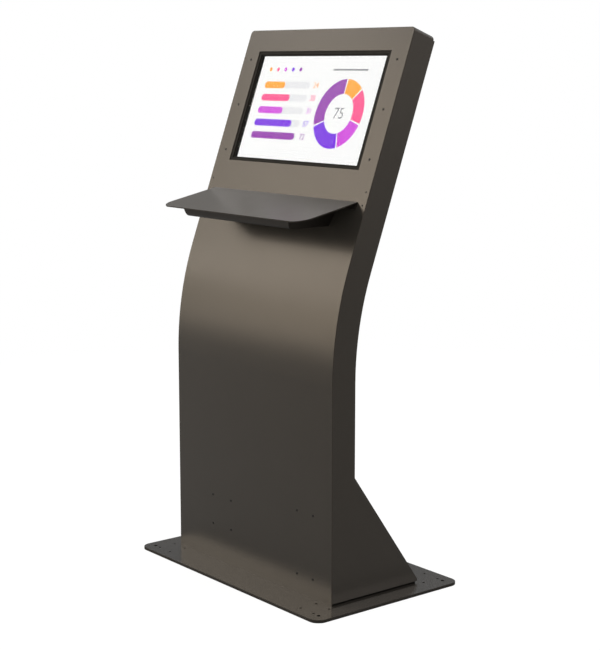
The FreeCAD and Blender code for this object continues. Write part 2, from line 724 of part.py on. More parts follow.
def display_bezel():
    """Black stepped ring behind the display opening."""
    half_x = OPENING_WIDTH / 2 + BEZEL_LAP
    half_z = OPENING_HEIGHT / 2 + BEZEL_LAP
    ring = slab(half_x, half_z, SHEET, CASE_FRONT)
    ledge_x = OPENING_WIDTH / 2 - BEZEL_SIDE_LEDGE
    ledge_z = OPENING_HEIGHT / 2 - BEZEL_TOP_LEDGE
    window_x = ACTIVE_WIDTH / 2 + WINDOW_MARGIN_X
    window_z = ACTIVE_HEIGHT / 2 + WINDOW_MARGIN_Z
    pocket_x = ACTIVE_WIDTH / 2 + GLASS_LAP + GLASS_CLEARANCE
    pocket_z = ACTIVE_HEIGHT / 2 + GLASS_LAP + GLASS_CLEARANCE
    cutters = [slab(ledge_x, ledge_z, SHEET, SHEET + BEZEL_STEP)]
    cutters.append(slab(window_x, window_z, SHEET, CASE_FRONT))
    cutters.append(slab(pocket_x, pocket_z, GLASS_FRONT, CASE_FRONT))
    return in_head(less(ring, cutters))


def slab(half_x, half_z, y0, y1):
    """Flat block centred on the display, in head axes."""
    return box(-half_x, half_x, y0, y1, DISPLAY_Z - half_z, DISPLAY_Z + half_z)


def touch_glass():
    x = ACTIVE_WIDTH / 2 + GLASS_LAP
    z = ACTIVE_HEIGHT / 2 + GLASS_LAP
    return in_head(slab(x, z, GLASS_FRONT, GLASS_FRONT + GLASS_THICK))


def lcd_panel():
    x = ACTIVE_WIDTH / 2 + GLASS_LAP
    z = ACTIVE_HEIGHT / 2 + GLASS_LAP
    return in_head(slab(x, z, LCD_FRONT, CASE_FRONT))


def backlight_unit():
    x = ACTIVE_WIDTH / 2 + BACKLIGHT_LAP
    z = ACTIVE_HEIGHT / 2 + BACKLIGHT_LAP
    return in_head(slab(x, z, CASE_FRONT, CASE_FRONT + BACKLIGHT_THICK))


def monitor_case():
    """Tray behind the display, with slots in its back and posts for its board and backlight."""
    floor = CASE_BACK - CASE_WALL
    tray = slab(CASE_HALF_X, CASE_HALF_Z, CASE_FRONT, CASE_BACK)
    tray = tray.cut(slab(CASE_HALF_X - CASE_WALL, CASE_HALF_Z - CASE_WALL, CASE_FRONT, floor))
    posts = [cyl(STANDOFF_R, BOARD_STANDOFF, Vector(x, BOARD_BACK, z), Y) for x, z in board_post_places()]
    light_back = CASE_FRONT + BACKLIGHT_THICK
    for sx in (-1, 0, 1):
        for sz in (-1, 1):
            at = Vector(sx * BACKLIGHT_POSTS[0], light_back, DISPLAY_Z + sz * BACKLIGHT_POSTS[1])
            posts.append(cyl(BACKLIGHT_POST_R, floor - light_back, at, Y))
    tray = joined([tray] + posts)
    low = DISPLAY_Z - (CASE_SLOTS - 1) / 2 * CASE_SLOT_PITCH
    centre = BOARD_SIZE[0] / 2 + CASE_SLOT_LENGTH
    cutters = []
    for side in (-1, 1):
        cutters += slots(CASE_SLOTS, CASE_SLOT_PITCH, CASE_SLOT_LENGTH, VENT_SLOT_WIDTH,
                         side * centre, low, floor, CASE_BACK)
    return in_head(less(tray, cutters))


def board_post_places():
    reach_x = BOARD_SIZE[0] / 2 - 2 * STANDOFF_R
    reach_z = BOARD_SIZE[1] / 2 - 2 * STANDOFF_R
    return [(sx * reach_x, DISPLAY_Z + sz * reach_z) for sx in (-1, 1) for sz in (-1, 1)]


def monitor_board():
    front = BOARD_BACK - BOARD_THICK
    low = DISPLAY_Z - BOARD_SIZE[1] / 2
    board = slab(BOARD_SIZE[0] / 2, BOARD_SIZE[1] / 2, front, BOARD_BACK)
    chip = slab(CHIP_SIZE / 2, CHIP_SIZE / 2, front - CHIP_THICK, front)
    plugs = []
    for index in range(PLUG_COUNT):
        x = (index - (PLUG_COUNT - 1) / 2) * PLUG_PITCH
        plugs.append(box(x - PLUG_SIZE[0] / 2, x + PLUG_SIZE[0] / 2, front - PLUG_SIZE[1], front,
                         low, low + PLUG_SIZE[2]))
    return in_head(joined([board, chip] + plugs))


def monitor_bracket(side):
    """Z-shaped bracket: foot on the front panel, web, and a lap over the back of the monitor."""
    low = HEAD_LENGTH - SCREW_ROWS[-1] - BRACKET_END
    high = HEAD_LENGTH - SCREW_ROWS[0] + BRACKET_END
    inner = SCREW_COLUMN_X - BRACKET_FOOT
    outer = SCREW_COLUMN_X + BRACKET_FOOT
    foot = box(inner, outer, SHEET, 2 * SHEET, low, high)
    web = box(inner, inner + SHEET, SHEET, CASE_BACK + SHEET, low, high)
    lap = box(inner - BRACKET_LAP, inner + SHEET, CASE_BACK, CASE_BACK + SHEET, low, high)
    bracket = joined([foot, web, lap])
    for _, z in display_screw_places()[:len(SCREW_ROWS)]:
        bracket = bracket.cut(cyl(SCREW_R + HOLE_CLEARANCE, SHEET, Vector(SCREW_COLUMN_X, SHEET, z), Y))
    if side < 0:
        bracket = bracket.mirror(ORIGIN, X)
    return in_head(bracket)


def display_screws():
    return [in_head(screw(Vector(x, 0, z), Y, SCREW_LENGTH)) for x, z in display_screw_places()]


def shelf_rear():
    """Rear top edge of the shelf, on the head's front face."""
    return profile_point(0, HEAD_LENGTH - SHELF_FROM_TOP)


def shelf_flange():
    """Strip folded down from the shelf's rear edge against the head, before its bolt holes."""
    z = HEAD_LENGTH - SHELF_FROM_TOP
    half = SHELF_HALF
    return box(-half, half, -SHEET, 0, z - SHELF_FLANGE - SHELF_THICK, z - SHELF_THICK / 2)


def shelf_plate():
    """Sloping plate with rounded front corners and a flange against the head."""
    half = SHELF_HALF
    plate = box(-half, half, -SHELF_DEPTH, 2 * SHELF_THICK, -SHELF_THICK, 0)
    corners = [e for e in edges_along(plate, Z) if e.BoundBox.YMax < 0]
    plate = plate.makeFillet(SHELF_CORNER_R, corners)
    plate.rotate(ORIGIN, X, SHELF_SLOPE_DEG)
    plate.translate(shelf_rear())
    z = HEAD_LENGTH - SHELF_FROM_TOP
    plate = plate.cut(in_head(box(-half, half, 0, 10 * SHELF_THICK, z - SHELF_DEPTH, z + SHELF_DEPTH)))
    flange = shelf_flange()
    for x, bolt_z in shelf_bolt_places():
        flange = flange.cut(cyl(SCREW_R + HOLE_CLEARANCE, SHEET, Vector(x, -SHEET, bolt_z), Y))
    return joined([plate, in_head(flange)])


def shelf_underside(y):
    """Height of the shelf's lower face at this distance from the column's front face."""
    rear = shelf_rear()
    slope = math.radians(SHELF_SLOPE_DEG)
    return rear.z - (rear.y - Y_FRONT - y) * math.tan(slope) - SHELF_THICK / math.cos(slope)


def shelf_box_block(inset, overshoot):
    """Tapered block with a rolled lower front edge: walls in by inset, top and rear out by overshoot."""
    shelf_y = shelf_rear().y - Y_FRONT
    rise = shelf_underside(shelf_y - BOX_REACH_HIGH) - shelf_rear().z + BOX_DROP
    lean = (BOX_REACH_HIGH - BOX_REACH_LOW) / rise
    flare = (BOX_HALF_HIGH - BOX_HALF_LOW) / rise
    low_z = shelf_rear().z - BOX_DROP + inset
    high_z = shelf_rear().z
    low_front = shelf_y - BOX_REACH_LOW + inset - inset * lean
    low_half = BOX_HALF_LOW - inset + inset * flare
    high_front = low_front - (high_z - low_z) * lean
    high_half = low_half + (high_z - low_z) * flare
    rear = head_face_y(high_z)
    ends = []
    for side in (-1, 1):
        points = [Vector(side * low_half, low_front, low_z), Vector(side * low_half, rear, low_z),
                  Vector(side * high_half, rear, high_z), Vector(side * high_half, high_front, high_z)]
        ends.append(Part.makePolygon(points + points[:1]))
    block = Part.makeLoft(ends, True, True)
    roll = [e for e in block.Edges if e.BoundBox.ZMax < low_z + NEAR and e.BoundBox.YMax < low_front + NEAR]
    block = block.makeFillet(BOX_ROLL_R - inset, roll)
    under_rear = shelf_underside(rear) + overshoot
    under_front = shelf_underside(high_front) + overshoot
    far_z = 2 * high_z
    above = prism([(rear, under_rear), (rear, far_z), (high_front, far_z), (high_front, under_front)],
                  -high_half, high_half)
    behind = prism([(head_face_y(low_z) + overshoot, low_z), (2 * rear, low_z), (2 * rear, high_z),
                    (rear + overshoot, high_z)], -high_half, high_half)
    return body_y(less(block, [above, behind]))


def head_face_y(z):
    """Distance of the head's front face from the column's front face at this height."""
    foot = profile_point(0, 0)
    return foot.y - Y_FRONT + (z - foot.z) * math.tan(LEAN)


def shelf_box():
    """Folded box below the shelf, open to the shelf above it and to the head behind it."""
    folded = shelf_box_block(0, 0).cut(shelf_box_block(BOX_SHEET, BOX_SHEET))
    return folded.cut(in_head(shelf_flange()))


def shelf_rail():
    """Channel across the inside of the head that takes the shelf's load."""
    low = HEAD_LENGTH - RAIL_SCREW_ROWS[-1] - 2 * RAIL_MARGIN
    high = HEAD_LENGTH - RAIL_SCREW_ROWS[0] + RAIL_MARGIN
    web = box(-INNER, INNER, SHEET, 2 * SHEET, low, high)
    lower = box(-INNER, INNER, SHEET, SHEET + RAIL_FLANGE, low, low + SHEET)
    upper = box(-INNER, INNER, SHEET, SHEET + RAIL_FLANGE, high - SHEET, high)
    rail = joined([web, lower, upper])
    for x, z in shelf_bolt_places():
        rail = rail.cut(cyl(SCREW_R + HOLE_CLEARANCE, SHEET, Vector(x, SHEET, z), Y))
    for x, z in rail_screw_places():
        rail = rail.cut(cyl(SMALL_SCREW_R + HOLE_CLEARANCE, SHEET, Vector(x, SHEET, z), Y))
    return in_head(rail)


def shelf_bolts():
    length = 3 * SHEET
    return [in_head(screw(Vector(x, 2 * SHEET, z), Y * -1, length)) for x, z in shelf_bolt_places()]


def shelf_rail_screws():
    return [in_head(screw(Vector(x, 0, z), Y, SCREW_LENGTH, SMALL_SCREW_R, SMALL_HEAD_R, SCREW_HEAD_H / 2))
            for x, z in rail_screw_places()]


def column_screws():
    return [body_y(screw(Vector(x, 0, z), Y, SCREW_LENGTH)) for x, z in column_screw_places()]


def unit_screw_places(centre_x, centre_z, spacing):
    """Screws that hold a unit to its hat bracket, two up each side of the bridge."""
    x = spacing[0] / 2 - HAT_FOOT - UNIT_SCREW_INSET
    z = spacing[1] / 2
    return [(centre_x + sx * x, centre_z + sz * z) for sx in (-1, 1) for sz in (-1, 1)]


def unit_screws(centre_x, centre_z, spacing):
    front = BRIDGE_BACK - SHEET
    places = unit_screw_places(centre_x, centre_z, spacing)
    return [body_y(screw(Vector(x, front, z), Y, SHEET + PC_WALL, SMALL_SCREW_R, SMALL_HEAD_R, SCREW_HEAD_H))
            for x, z in places]


def hat_bracket(centre_x, centre_z, spacing):
    """Hat-shaped bracket: two feet on the front panel and a bridge that carries a unit."""
    low = centre_z - spacing[1] / 2 - HAT_END
    high = centre_z + spacing[1] / 2 + HAT_END
    foot_x = spacing[0] / 2
    bridge = foot_x - HAT_FOOT + SHEET
    parts = [box(-bridge, bridge, BRIDGE_BACK - SHEET, BRIDGE_BACK, low, high)]
    for side in (-1, 1):
        x0, x1 = sorted((side * (foot_x - HAT_FOOT), side * (foot_x + HAT_FOOT)))
        parts.append(box(x0, x1, SHEET, 2 * SHEET, low, high))
        x0, x1 = sorted((side * (bridge - SHEET), side * bridge))
        parts.append(box(x0, x1, SHEET, BRIDGE_BACK, low, high))
    bracket = joined(parts)
    bracket.translate(X * centre_x)
    for x, z in column_screw_places():
        bracket = bracket.cut(cyl(SCREW_R + HOLE_CLEARANCE, SHEET, Vector(x, SHEET, z), Y))
    for x, z in unit_screw_places(centre_x, centre_z, spacing):
        at = Vector(x, BRIDGE_BACK - SHEET, z)
        bracket = bracket.cut(cyl(SMALL_SCREW_R + HOLE_CLEARANCE, SHEET, at, Y))
    return body_y(bracket)


def pc_block(inset, y0, y1):
    half_x = PC_WIDTH / 2 - inset
    half_z = PC_HEIGHT / 2 - inset
    block = box(-half_x, half_x, y0, y1, -half_z, half_z)
    return block.makeFillet(PC_CORNER_R - inset, edges_along(block, Y))


def in_pc(shape):
    """Place a shape drawn about the computer's centre, with Y from its front face."""
    shape.translate(Vector(COMPUTER_X, Y_FRONT + BRIDGE_BACK, COMPUTER_Z))
    return shape


def pc_board_posts():
    reach_x = PC_WIDTH / 2 - 2 * PC_BOARD_MARGIN
    reach_z = PC_HEIGHT / 2 - 2 * PC_BOARD_MARGIN
    return [(sx * reach_x, sz * reach_z) for sx in (-1, 1) for sz in (-1, 1)]


def lid_screw_places():
    x = PC_WIDTH / 2 - PC_WALL - PC_LID_POST_R
    z = PC_HEIGHT / 2 - PC_WALL - PC_LID_POST_R
    return [(sx * x, sz * z) for sx in (-1, 1) for sz in (-1, 1)]


def drive_post_places():
    x = DRIVE_SIZE[0] / 2 - 2 * DRIVE_POST_R
    z = DRIVE_SIZE[1] / 2 - 2 * DRIVE_POST_R
    return [(DRIVE_X + sx * x, sz * z) for sx in (-1, 1) for sz in (-1, 1)]


def port_block(x, low_z, high_z, clearance):
    half = PORT_SIZE[0] / 2 + clearance
    return box(x - half, x + half, PC_BOARD_TOP - clearance, PC_BOARD_TOP + PORT_SIZE[1] + clearance,
               low_z, high_z)


def port_places():
    return [(index - (PORT_COUNT - 1) / 2) * PORT_PITCH for index in range(PORT_COUNT)]


def computer_case():
    shell = pc_block(0, 0, PC_DEPTH)
    shell = shell.cut(pc_block(PC_WALL, PC_WALL, PC_DEPTH))
    inside = PC_DEPTH - PC_WALL
    posts = [cyl(STANDOFF_R, PC_BOARD_LIFT, Vector(x, PC_WALL, z), Y) for x, z in pc_board_posts()]
    lift = DRIVE_LIFT - PC_WALL
    posts += [cyl(DRIVE_POST_R, lift, Vector(x, PC_WALL, z), Y) for x, z in drive_post_places()]
    posts += [cyl(PC_LID_POST_R, inside, Vector(x, PC_WALL, z), Y) for x, z in lid_screw_places()]
    shell = joined([shell] + posts)
    low = -PC_HEIGHT / 2
    cutters = [port_block(x, low, low + PC_WALL, PORT_CLEARANCE) for x in port_places()]
    at = Vector(PC_WIDTH / 2 - PC_WALL, PC_DEPTH / 2, BUTTON_Z)
    cutters.append(cyl(BUTTON_R + BUTTON_CLEARANCE, PC_WALL, at, X))
    for x, z in lid_screw_places():
        cutters.append(cyl(SMALL_SCREW_R, SCREW_LENGTH, Vector(x, PC_DEPTH - SCREW_LENGTH, z), Y))
    for x, z in unit_screw_places(0, 0, COMPUTER_HOLES):
        cutters.append(cyl(SMALL_SCREW_R, PC_WALL, Vector(x, 0, z), Y))
    return in_pc(less(shell, cutters))


def computer_lid_screws():
    length = PC_LID_THICK + SCREW_LENGTH - HOLE_CLEARANCE
    return [in_pc(screw(Vector(x, PC_DEPTH + PC_LID_THICK, z), Y * -1, length, SMALL_SCREW_R, SMALL_HEAD_R,
                        SCREW_HEAD_H)) for x, z in lid_screw_places()]


def computer_lid():
    lid = pc_block(0, PC_DEPTH, PC_DEPTH + PC_LID_THICK)
    cutters = []
    for ring, count in enumerate(VENT_RINGS):
        for index in range(max(count, 1)):
            turn = 2 * math.pi * index / max(count, 1)
            radius = ring * VENT_RING_STEP
            at = Vector(PC_FAN_X + radius * math.cos(turn), PC_DEPTH, PC_FAN_Z + radius * math.sin(turn))
            cutters.append(cyl(VENT_HOLE_R, PC_LID_THICK, at, Y))
    for x, z in lid_screw_places():
        cutters.append(cyl(SMALL_SCREW_R + HOLE_CLEARANCE, PC_LID_THICK, Vector(x, PC_DEPTH, z), Y))
    return in_pc(less(lid, cutters))


def computer_board():
    y0 = PC_WALL + PC_BOARD_LIFT
    half_x = PC_WIDTH / 2 - PC_BOARD_MARGIN
    half_z = PC_HEIGHT / 2 - PC_BOARD_MARGIN
    parts = [box(-half_x, half_x, y0, PC_BOARD_TOP, -half_z, half_z)]
    low = -PC_HEIGHT / 2 + PC_WALL
    parts += [port_block(x, low, low + PORT_LENGTH, 0) for x in port_places()]
    board = joined(parts)
    for x, z in drive_post_places():
        board = board.cut(cyl(DRIVE_POST_R + HOLE_CLEARANCE, BOARD_THICK, Vector(x, y0, z), Y))
    return in_pc(board)


def computer_heat_sink():
    y0 = PC_BOARD_TOP
    half = HEAT_SINK_SIZE / 2
    low_z, high_z = PC_FAN_Z - half, PC_FAN_Z + half
    parts = [box(PC_FAN_X - half, PC_FAN_X + half, y0, y0 + HEAT_SINK_BASE, low_z, high_z)]
    pitch = (HEAT_SINK_SIZE - HEAT_SINK_FIN_THICK) / (HEAT_SINK_FINS - 1)
    for index in range(HEAT_SINK_FINS):
        x = PC_FAN_X - half + index * pitch
        parts.append(box(x, x + HEAT_SINK_FIN_THICK, y0, y0 + HEAT_SINK_HEIGHT, low_z, high_z))
    pin = HEAT_SINK_HEIGHT + PC_FAN_LIFT + PC_FAN_THICK
    parts.append(cyl(PC_FAN_PIN_R, pin, Vector(PC_FAN_X, y0, PC_FAN_Z), Y))
    return in_pc(joined(parts))


def rotor(hub_r, blade_r, thick, blades, bore_r, depth_y):
    """Fan rotor about the Y axis: hub with a bore and tilted flat blades."""
    hub = cyl(hub_r, thick, Vector(0, depth_y, 0), Y)
    parts = [hub]
    for index in range(blades):
        blade = box(hub_r - BLADE_THICK, blade_r, -BLADE_THICK / 2, BLADE_THICK / 2, -thick / 2, thick / 2)
        blade.rotate(ORIGIN, X, BLADE_TILT_DEG)
        blade.translate(Vector(0, depth_y + thick / 2, 0))
        blade.rotate(ORIGIN, Y, 360.0 * index / blades)
        parts.append(blade)
    limit = cyl(blade_r, thick, Vector(0, depth_y, 0), Y)
    return joined(parts).common(limit).cut(cyl(bore_r, thick, Vector(0, depth_y, 0), Y))


def computer_fan():
    y0 = PC_BOARD_TOP + HEAT_SINK_HEIGHT + PC_FAN_LIFT
    fan = rotor(PC_FAN_HUB_R, PC_FAN_R, PC_FAN_THICK, PC_FAN_BLADES, PC_FAN_PIN_R + FAN_RUN, y0)
    fan.translate(Vector(PC_FAN_X, 0, PC_FAN_Z))
    return in_pc(fan)


def computer_drive():
    half_x = DRIVE_SIZE[0] / 2
    half_z = DRIVE_SIZE[1] / 2
    return in_pc(box(DRIVE_X - half_x, DRIVE_X + half_x, DRIVE_LIFT, DRIVE_LIFT + DRIVE_THICK,
                     -half_z, half_z))


def computer_power_button():
    """Round button through the computer's side wall, with a collar that keeps it in."""
    collar_end = PC_WIDTH / 2 - PC_WALL - BUTTON_CLEARANCE
    at = Vector(collar_end - BUTTON_FLANGE, PC_DEPTH / 2, BUTTON_Z)
    stem = cyl(BUTTON_R, BUTTON_FLANGE + BUTTON_CLEARANCE + PC_WALL + BUTTON_PROUD, at, X)
    collar = cyl(BUTTON_R + BUTTON_FLANGE, BUTTON_FLANGE, at, X)
    return in_pc(joined([stem, collar]))


def in_strip(shape):
    """Place a shape drawn about the socket strip's centre line, with Y from its front face."""
    shape.translate(Vector(POWER_X, Y_FRONT + BRIDGE_BACK, POWER_Z))
    return shape


def power_strip():
    half_x, depth, height = STRIP_BODY[0] / 2, STRIP_BODY[1], STRIP_BODY[2]
    body = box(-half_x, half_x, 0, depth, -height / 2, height / 2)
    body = body.makeFillet(EDGE_R, [e for e in body.Edges if e.BoundBox.YMin > depth - NEAR])
    cutters = []
    for index in range(OUTLET_COUNT):
        z = -height / 2 + OUTLET_LOW + index * OUTLET_PITCH
        cutters.append(box(-OUTLET_SIZE[0] / 2, OUTLET_SIZE[0] / 2, depth - OUTLET_DEPTH, depth,
                           z - OUTLET_SIZE[1] / 2, z + OUTLET_SIZE[1] / 2))
    z = height / 2 - SWITCH_FROM_TOP
    half_w, half_h = SWITCH_SIZE[0] / 2, SWITCH_SIZE[1] / 2
    cutters.append(box(-half_w, half_w, depth - SWITCH_DEPTH - SWITCH_BELOW, depth, z - half_h, z + half_h))
    for x, dz in unit_screw_places(0, 0, POWER_HOLES):
        cutters.append(cyl(SMALL_SCREW_R, PC_WALL, Vector(x, 0, dz), Y))
    body = less(body, cutters)
    pin = cyl(SWITCH_PIN_R, SWITCH_SIZE[0], Vector(-half_w, depth - SWITCH_DEPTH / 2, z), X)
    return in_strip(joined([body, pin]))


def power_switch():
    """Rocker on a cross pin: two faces that meet at a shallow angle, its upper end pressed in."""
    half_x = SWITCH_SIZE[0] / 2 - SWITCH_CLEARANCE
    half_z = SWITCH_SIZE[1] / 2 - SWITCH_END_CLEARANCE
    face = SWITCH_DEPTH / 2 + SWITCH_PROUD
    end = face + half_z * math.tan(math.radians(SWITCH_TILT_DEG))
    keel = (SWITCH_DEPTH / 2, half_z / 3)
    outline = [(-keel[0], -keel[1]), (SWITCH_PROUD, -half_z), (end, -half_z), (face, 0), (end, half_z),
               (SWITCH_PROUD, half_z), (-keel[0], keel[1])]
    rocker = prism(outline, -half_x, half_x)
    rocker = rocker.cut(cyl(SWITCH_PIN_R + SWITCH_RUN, 2 * half_x, Vector(-half_x, 0, 0), X))
    rocker.rotate(ORIGIN, X, SWITCH_TILT_DEG)
    rocker.translate(Vector(0, STRIP_BODY[1] - SWITCH_DEPTH / 2, STRIP_BODY[2] / 2 - SWITCH_FROM_TOP))
    return in_strip(rocker)


def power_supply():
    x, y, z = SUPPLY_SIZE
    brick = box(SUPPLY_X - x / 2, SUPPLY_X + x / 2, SUPPLY_Y - y / 2, SUPPLY_Y + y / 2,
                BODY_LOW_Z, BODY_LOW_Z + z)
    return body_y(brick.makeFillet(SUPPLY_CORNER_R, edges_along(brick, Z)))


def supply_strap():
    _, y, z = SUPPLY_SIZE
    x0, x1 = SUPPLY_X - STRAP_WIDTH / 2, SUPPLY_X + STRAP_WIDTH / 2
    half = y / 2
    top = BODY_LOW_Z + z
    over = box(x0, x1, SUPPLY_Y - half - STRAP_THICK, SUPPLY_Y + half + STRAP_THICK, top, top + STRAP_THICK)
    parts = [over]
    for side in (-1, 1):
        y0, y1 = sorted((SUPPLY_Y + side * half, SUPPLY_Y + side * (half + STRAP_THICK)))
        parts.append(box(x0, x1, y0, y1, BODY_LOW_Z, top + STRAP_THICK))
        y0, y1 = sorted((SUPPLY_Y + side * half, SUPPLY_Y + side * (half + STRAP_FOOT)))
        parts.append(box(x0, x1, y0, y1, BODY_LOW_Z, BODY_LOW_Z + STRAP_THICK))
    strap = joined(parts)
    for x, y in strap_screw_places():
        strap = strap.cut(cyl(SCREW_R + HOLE_CLEARANCE, STRAP_THICK, Vector(x, y, BODY_LOW_Z), Z))
    return body_y(strap)


def strap_screw_places():
    reach = SUPPLY_SIZE[1] / 2 + (STRAP_FOOT + STRAP_THICK) / 2
    return [(SUPPLY_X, SUPPLY_Y + side * reach) for side in (-1, 1)]


def supply_strap_screws():
    top = BODY_LOW_Z + STRAP_THICK
    return [body_y(screw(Vector(x, y, top), Z * -1, STRAP_SCREW_LENGTH)) for x, y in strap_screw_places()]


def in_fan(shape):
    shape.translate(Vector(0, Y_FRONT + COVER_IN - FAN_DEPTH, FAN_Z))
    return shape


def exhaust_fan_frame():
    half = FAN_SIZE / 2
    frame = box(-half, half, 0, FAN_DEPTH, -half, half)
    frame = frame.makeFillet(FAN_ARM, edges_along(frame, Y))
    frame = frame.cut(cyl(FAN_BORE_R, FAN_DEPTH, ORIGIN, Y))
    parts = [frame, cyl(FAN_HUB_R, FAN_PLATE, ORIGIN, Y)]
    for turn in (45, 135, 225, 315):
        arm = box(0, FAN_BORE_R + FAN_ARM / 2, 0, FAN_PLATE, -FAN_ARM / 2, FAN_ARM / 2)
        arm.rotate(ORIGIN, Y, turn)
        parts.append(arm)
    parts.append(cyl(FAN_PIN_R, FAN_DEPTH - FAN_PLATE, ORIGIN, Y))
    frame = joined(parts)
    reach = FAN_HOLE_SPACING / 2
    for sx in (-1, 1):
        for sz in (-1, 1):
            frame = frame.cut(cyl(SCREW_R + HOLE_CLEARANCE, FAN_DEPTH, Vector(sx * reach, 0, sz * reach), Y))
    return in_fan(frame)


def exhaust_fan_rotor():
    thick = FAN_DEPTH - 2 * FAN_PLATE
    return in_fan(rotor(FAN_HUB_R, FAN_BLADE_R, thick, FAN_BLADES, FAN_PIN_R + FAN_RUN, FAN_PLATE + FAN_LIFT))


def exhaust_fan_screws():
    return [body_y(screw(Vector(x, BODY_DEPTH, z), Y * -1, FAN_DEPTH / 2)) for x, z in fan_screw_places()]


def foot_door():
    x = INNER - DOOR_SIDE_GAP
    door = box(-x, x, -SHEET, 0, DOOR_LOW + COVER_GAP, DOOR_HIGH)
    parts = [door]
    for side in (-1, 1):
        x0, x1 = sorted((side * (INNER - DOOR_RIM_INSET), side * (INNER - DOOR_RIM_INSET - SHEET)))
        parts.append(box(x0, x1, -SHEET - DOOR_RIM, -SHEET, RAIL_LEG + SILL_LEG, DOOR_HIGH - 2 * RAIL_LEG))
    door = joined(parts)
    cutters = slots(DOOR_VENTS, DOOR_VENT_PITCH, DOOR_VENT_LENGTH, VENT_SLOT_WIDTH, 0, DOOR_VENT_Z, -SHEET, 0)
    cutters.append(cyl(LOCK_BARREL_R + HOLE_CLEARANCE, SHEET, Vector(LOCK_X, -SHEET, LOCK_Z), Y))
    for place in HINGE_PLACES:
        for x, z in hinge_screw_places(place):
            cutters.append(cyl(SMALL_SCREW_R, SHEET, Vector(x, -SHEET, z), Y))
    return on_slope(less(door, cutters))


def foot_door_hinge_leaves():
    leaves = []
    for place in HINGE_PLACES:
        low = place + HINGE_KNUCKLE + HINGE_PLAY
        high = low + HINGE_KNUCKLE
        at = Vector(-HINGE_X, HINGE_RISE, low)
        leaf = box(-INNER + DOOR_SIDE_GAP, -HINGE_X + HINGE_LEAF, 0, HINGE_LEAF_THICK, low, high)
        leaf = joined([leaf, cyl(HINGE_R, HINGE_KNUCKLE, at, Z)])
        leaf = leaf.cut(cyl(HINGE_PIN_R + HINGE_RUN, HINGE_KNUCKLE, at, Z))
        for x, z in hinge_screw_places(place):
            leaf = leaf.cut(cyl(SMALL_SCREW_R + HOLE_CLEARANCE, HINGE_LEAF_THICK, Vector(x, 0, z), Y))
        leaves.append(on_slope(leaf))
    return leaves


def hinge_screw_places(place):
    """Two screws through one leaf, in foot door axes."""
    x = -HINGE_X + HINGE_LEAF - HINGE_SCREW_INSET
    middle = place + 1.5 * HINGE_KNUCKLE + HINGE_PLAY
    reach = HINGE_KNUCKLE / 2 - HINGE_SCREW_INSET
    return [(x, middle + side * reach) for side in (-1, 1)]


def foot_door_hinge_screws():
    screws = []
    for place in HINGE_PLACES:
        for x, z in hinge_screw_places(place):
            at = Vector(x, HINGE_LEAF_THICK, z)
            screws.append(on_slope(screw(at, Y * -1, HINGE_LEAF_THICK + SHEET, SMALL_SCREW_R, SMALL_HEAD_R,
                                         SCREW_HEAD_H)))
    return screws


def foot_door_hinge_barrels():
    barrels = []
    for place in HINGE_PLACES:
        at = Vector(-HINGE_X, HINGE_RISE, place)
        block = box(-HALF, -INNER, 0, HINGE_RISE, place, place + HINGE_KNUCKLE)
        barrel = joined([block, cyl(HINGE_R, HINGE_KNUCKLE, at, Z)])
        barrels.append(on_slope(barrel.cut(cyl(HINGE_PIN_R, HINGE_KNUCKLE, at, Z))))
    return barrels


def foot_door_hinge_pins():
    length = 2 * HINGE_KNUCKLE + HINGE_PLAY
    return [on_slope(cyl(HINGE_PIN_R, length, Vector(-HINGE_X, HINGE_RISE, place), Z))
            for place in HINGE_PLACES]


def foot_lock_housing():
    inner_face = -STRIP_BEHIND_DOOR - STRIP_THICK
    flange = cyl(LOCK_FLANGE_R, LOCK_FLANGE_H, Vector(LOCK_X, 0, LOCK_Z), Y)
    barrel = cyl(LOCK_BARREL_R, -inner_face, Vector(LOCK_X, inner_face, LOCK_Z), Y)
    nut = cyl(LOCK_NUT_R, LOCK_NUT_H, Vector(LOCK_X, -SHEET - LOCK_NUT_H, LOCK_Z), Y)
    bore = cyl(LOCK_PLUG_R + LOCK_RUN, LOCK_FLANGE_H - inner_face, Vector(LOCK_X, inner_face, LOCK_Z), Y)
    return on_slope(joined([flange, barrel, nut]).cut(bore))


def foot_lock_plug():
    inner_face = -STRIP_BEHIND_DOOR - STRIP_THICK - DOOR_SEAT_GAP
    length = LOCK_FLANGE_H - inner_face
    plug = cyl(LOCK_PLUG_R, length, Vector(LOCK_X, inner_face, LOCK_Z), Y)
    half_w, half_h = KEYWAY[0] / 2, KEYWAY[1] / 2
    slot = box(LOCK_X - half_w, LOCK_X + half_w, LOCK_FLANGE_H - KEYWAY_DEPTH, LOCK_FLANGE_H,
               LOCK_Z - half_h, LOCK_Z + half_h)
    return on_slope(plug.cut(slot))


def foot_lock_cam():
    """Cam on the plug's inner end, at rest pointing up the slope, clear of the strip."""
    front = -STRIP_BEHIND_DOOR - STRIP_THICK - DOOR_SEAT_GAP
    half = CAM_WIDTH / 2
    arm = box(LOCK_X - half, LOCK_X + half, front - CAM_THICK, front, LOCK_Z, LOCK_Z + CAM_LENGTH - half)
    tip = cyl(half, CAM_THICK, Vector(LOCK_X, front - CAM_THICK, LOCK_Z + CAM_LENGTH - half), Y)
    hub = cyl(LOCK_BARREL_R, CAM_THICK, Vector(LOCK_X, front - CAM_THICK, LOCK_Z), Y)
    return on_slope(joined([arm, tip, hub]))


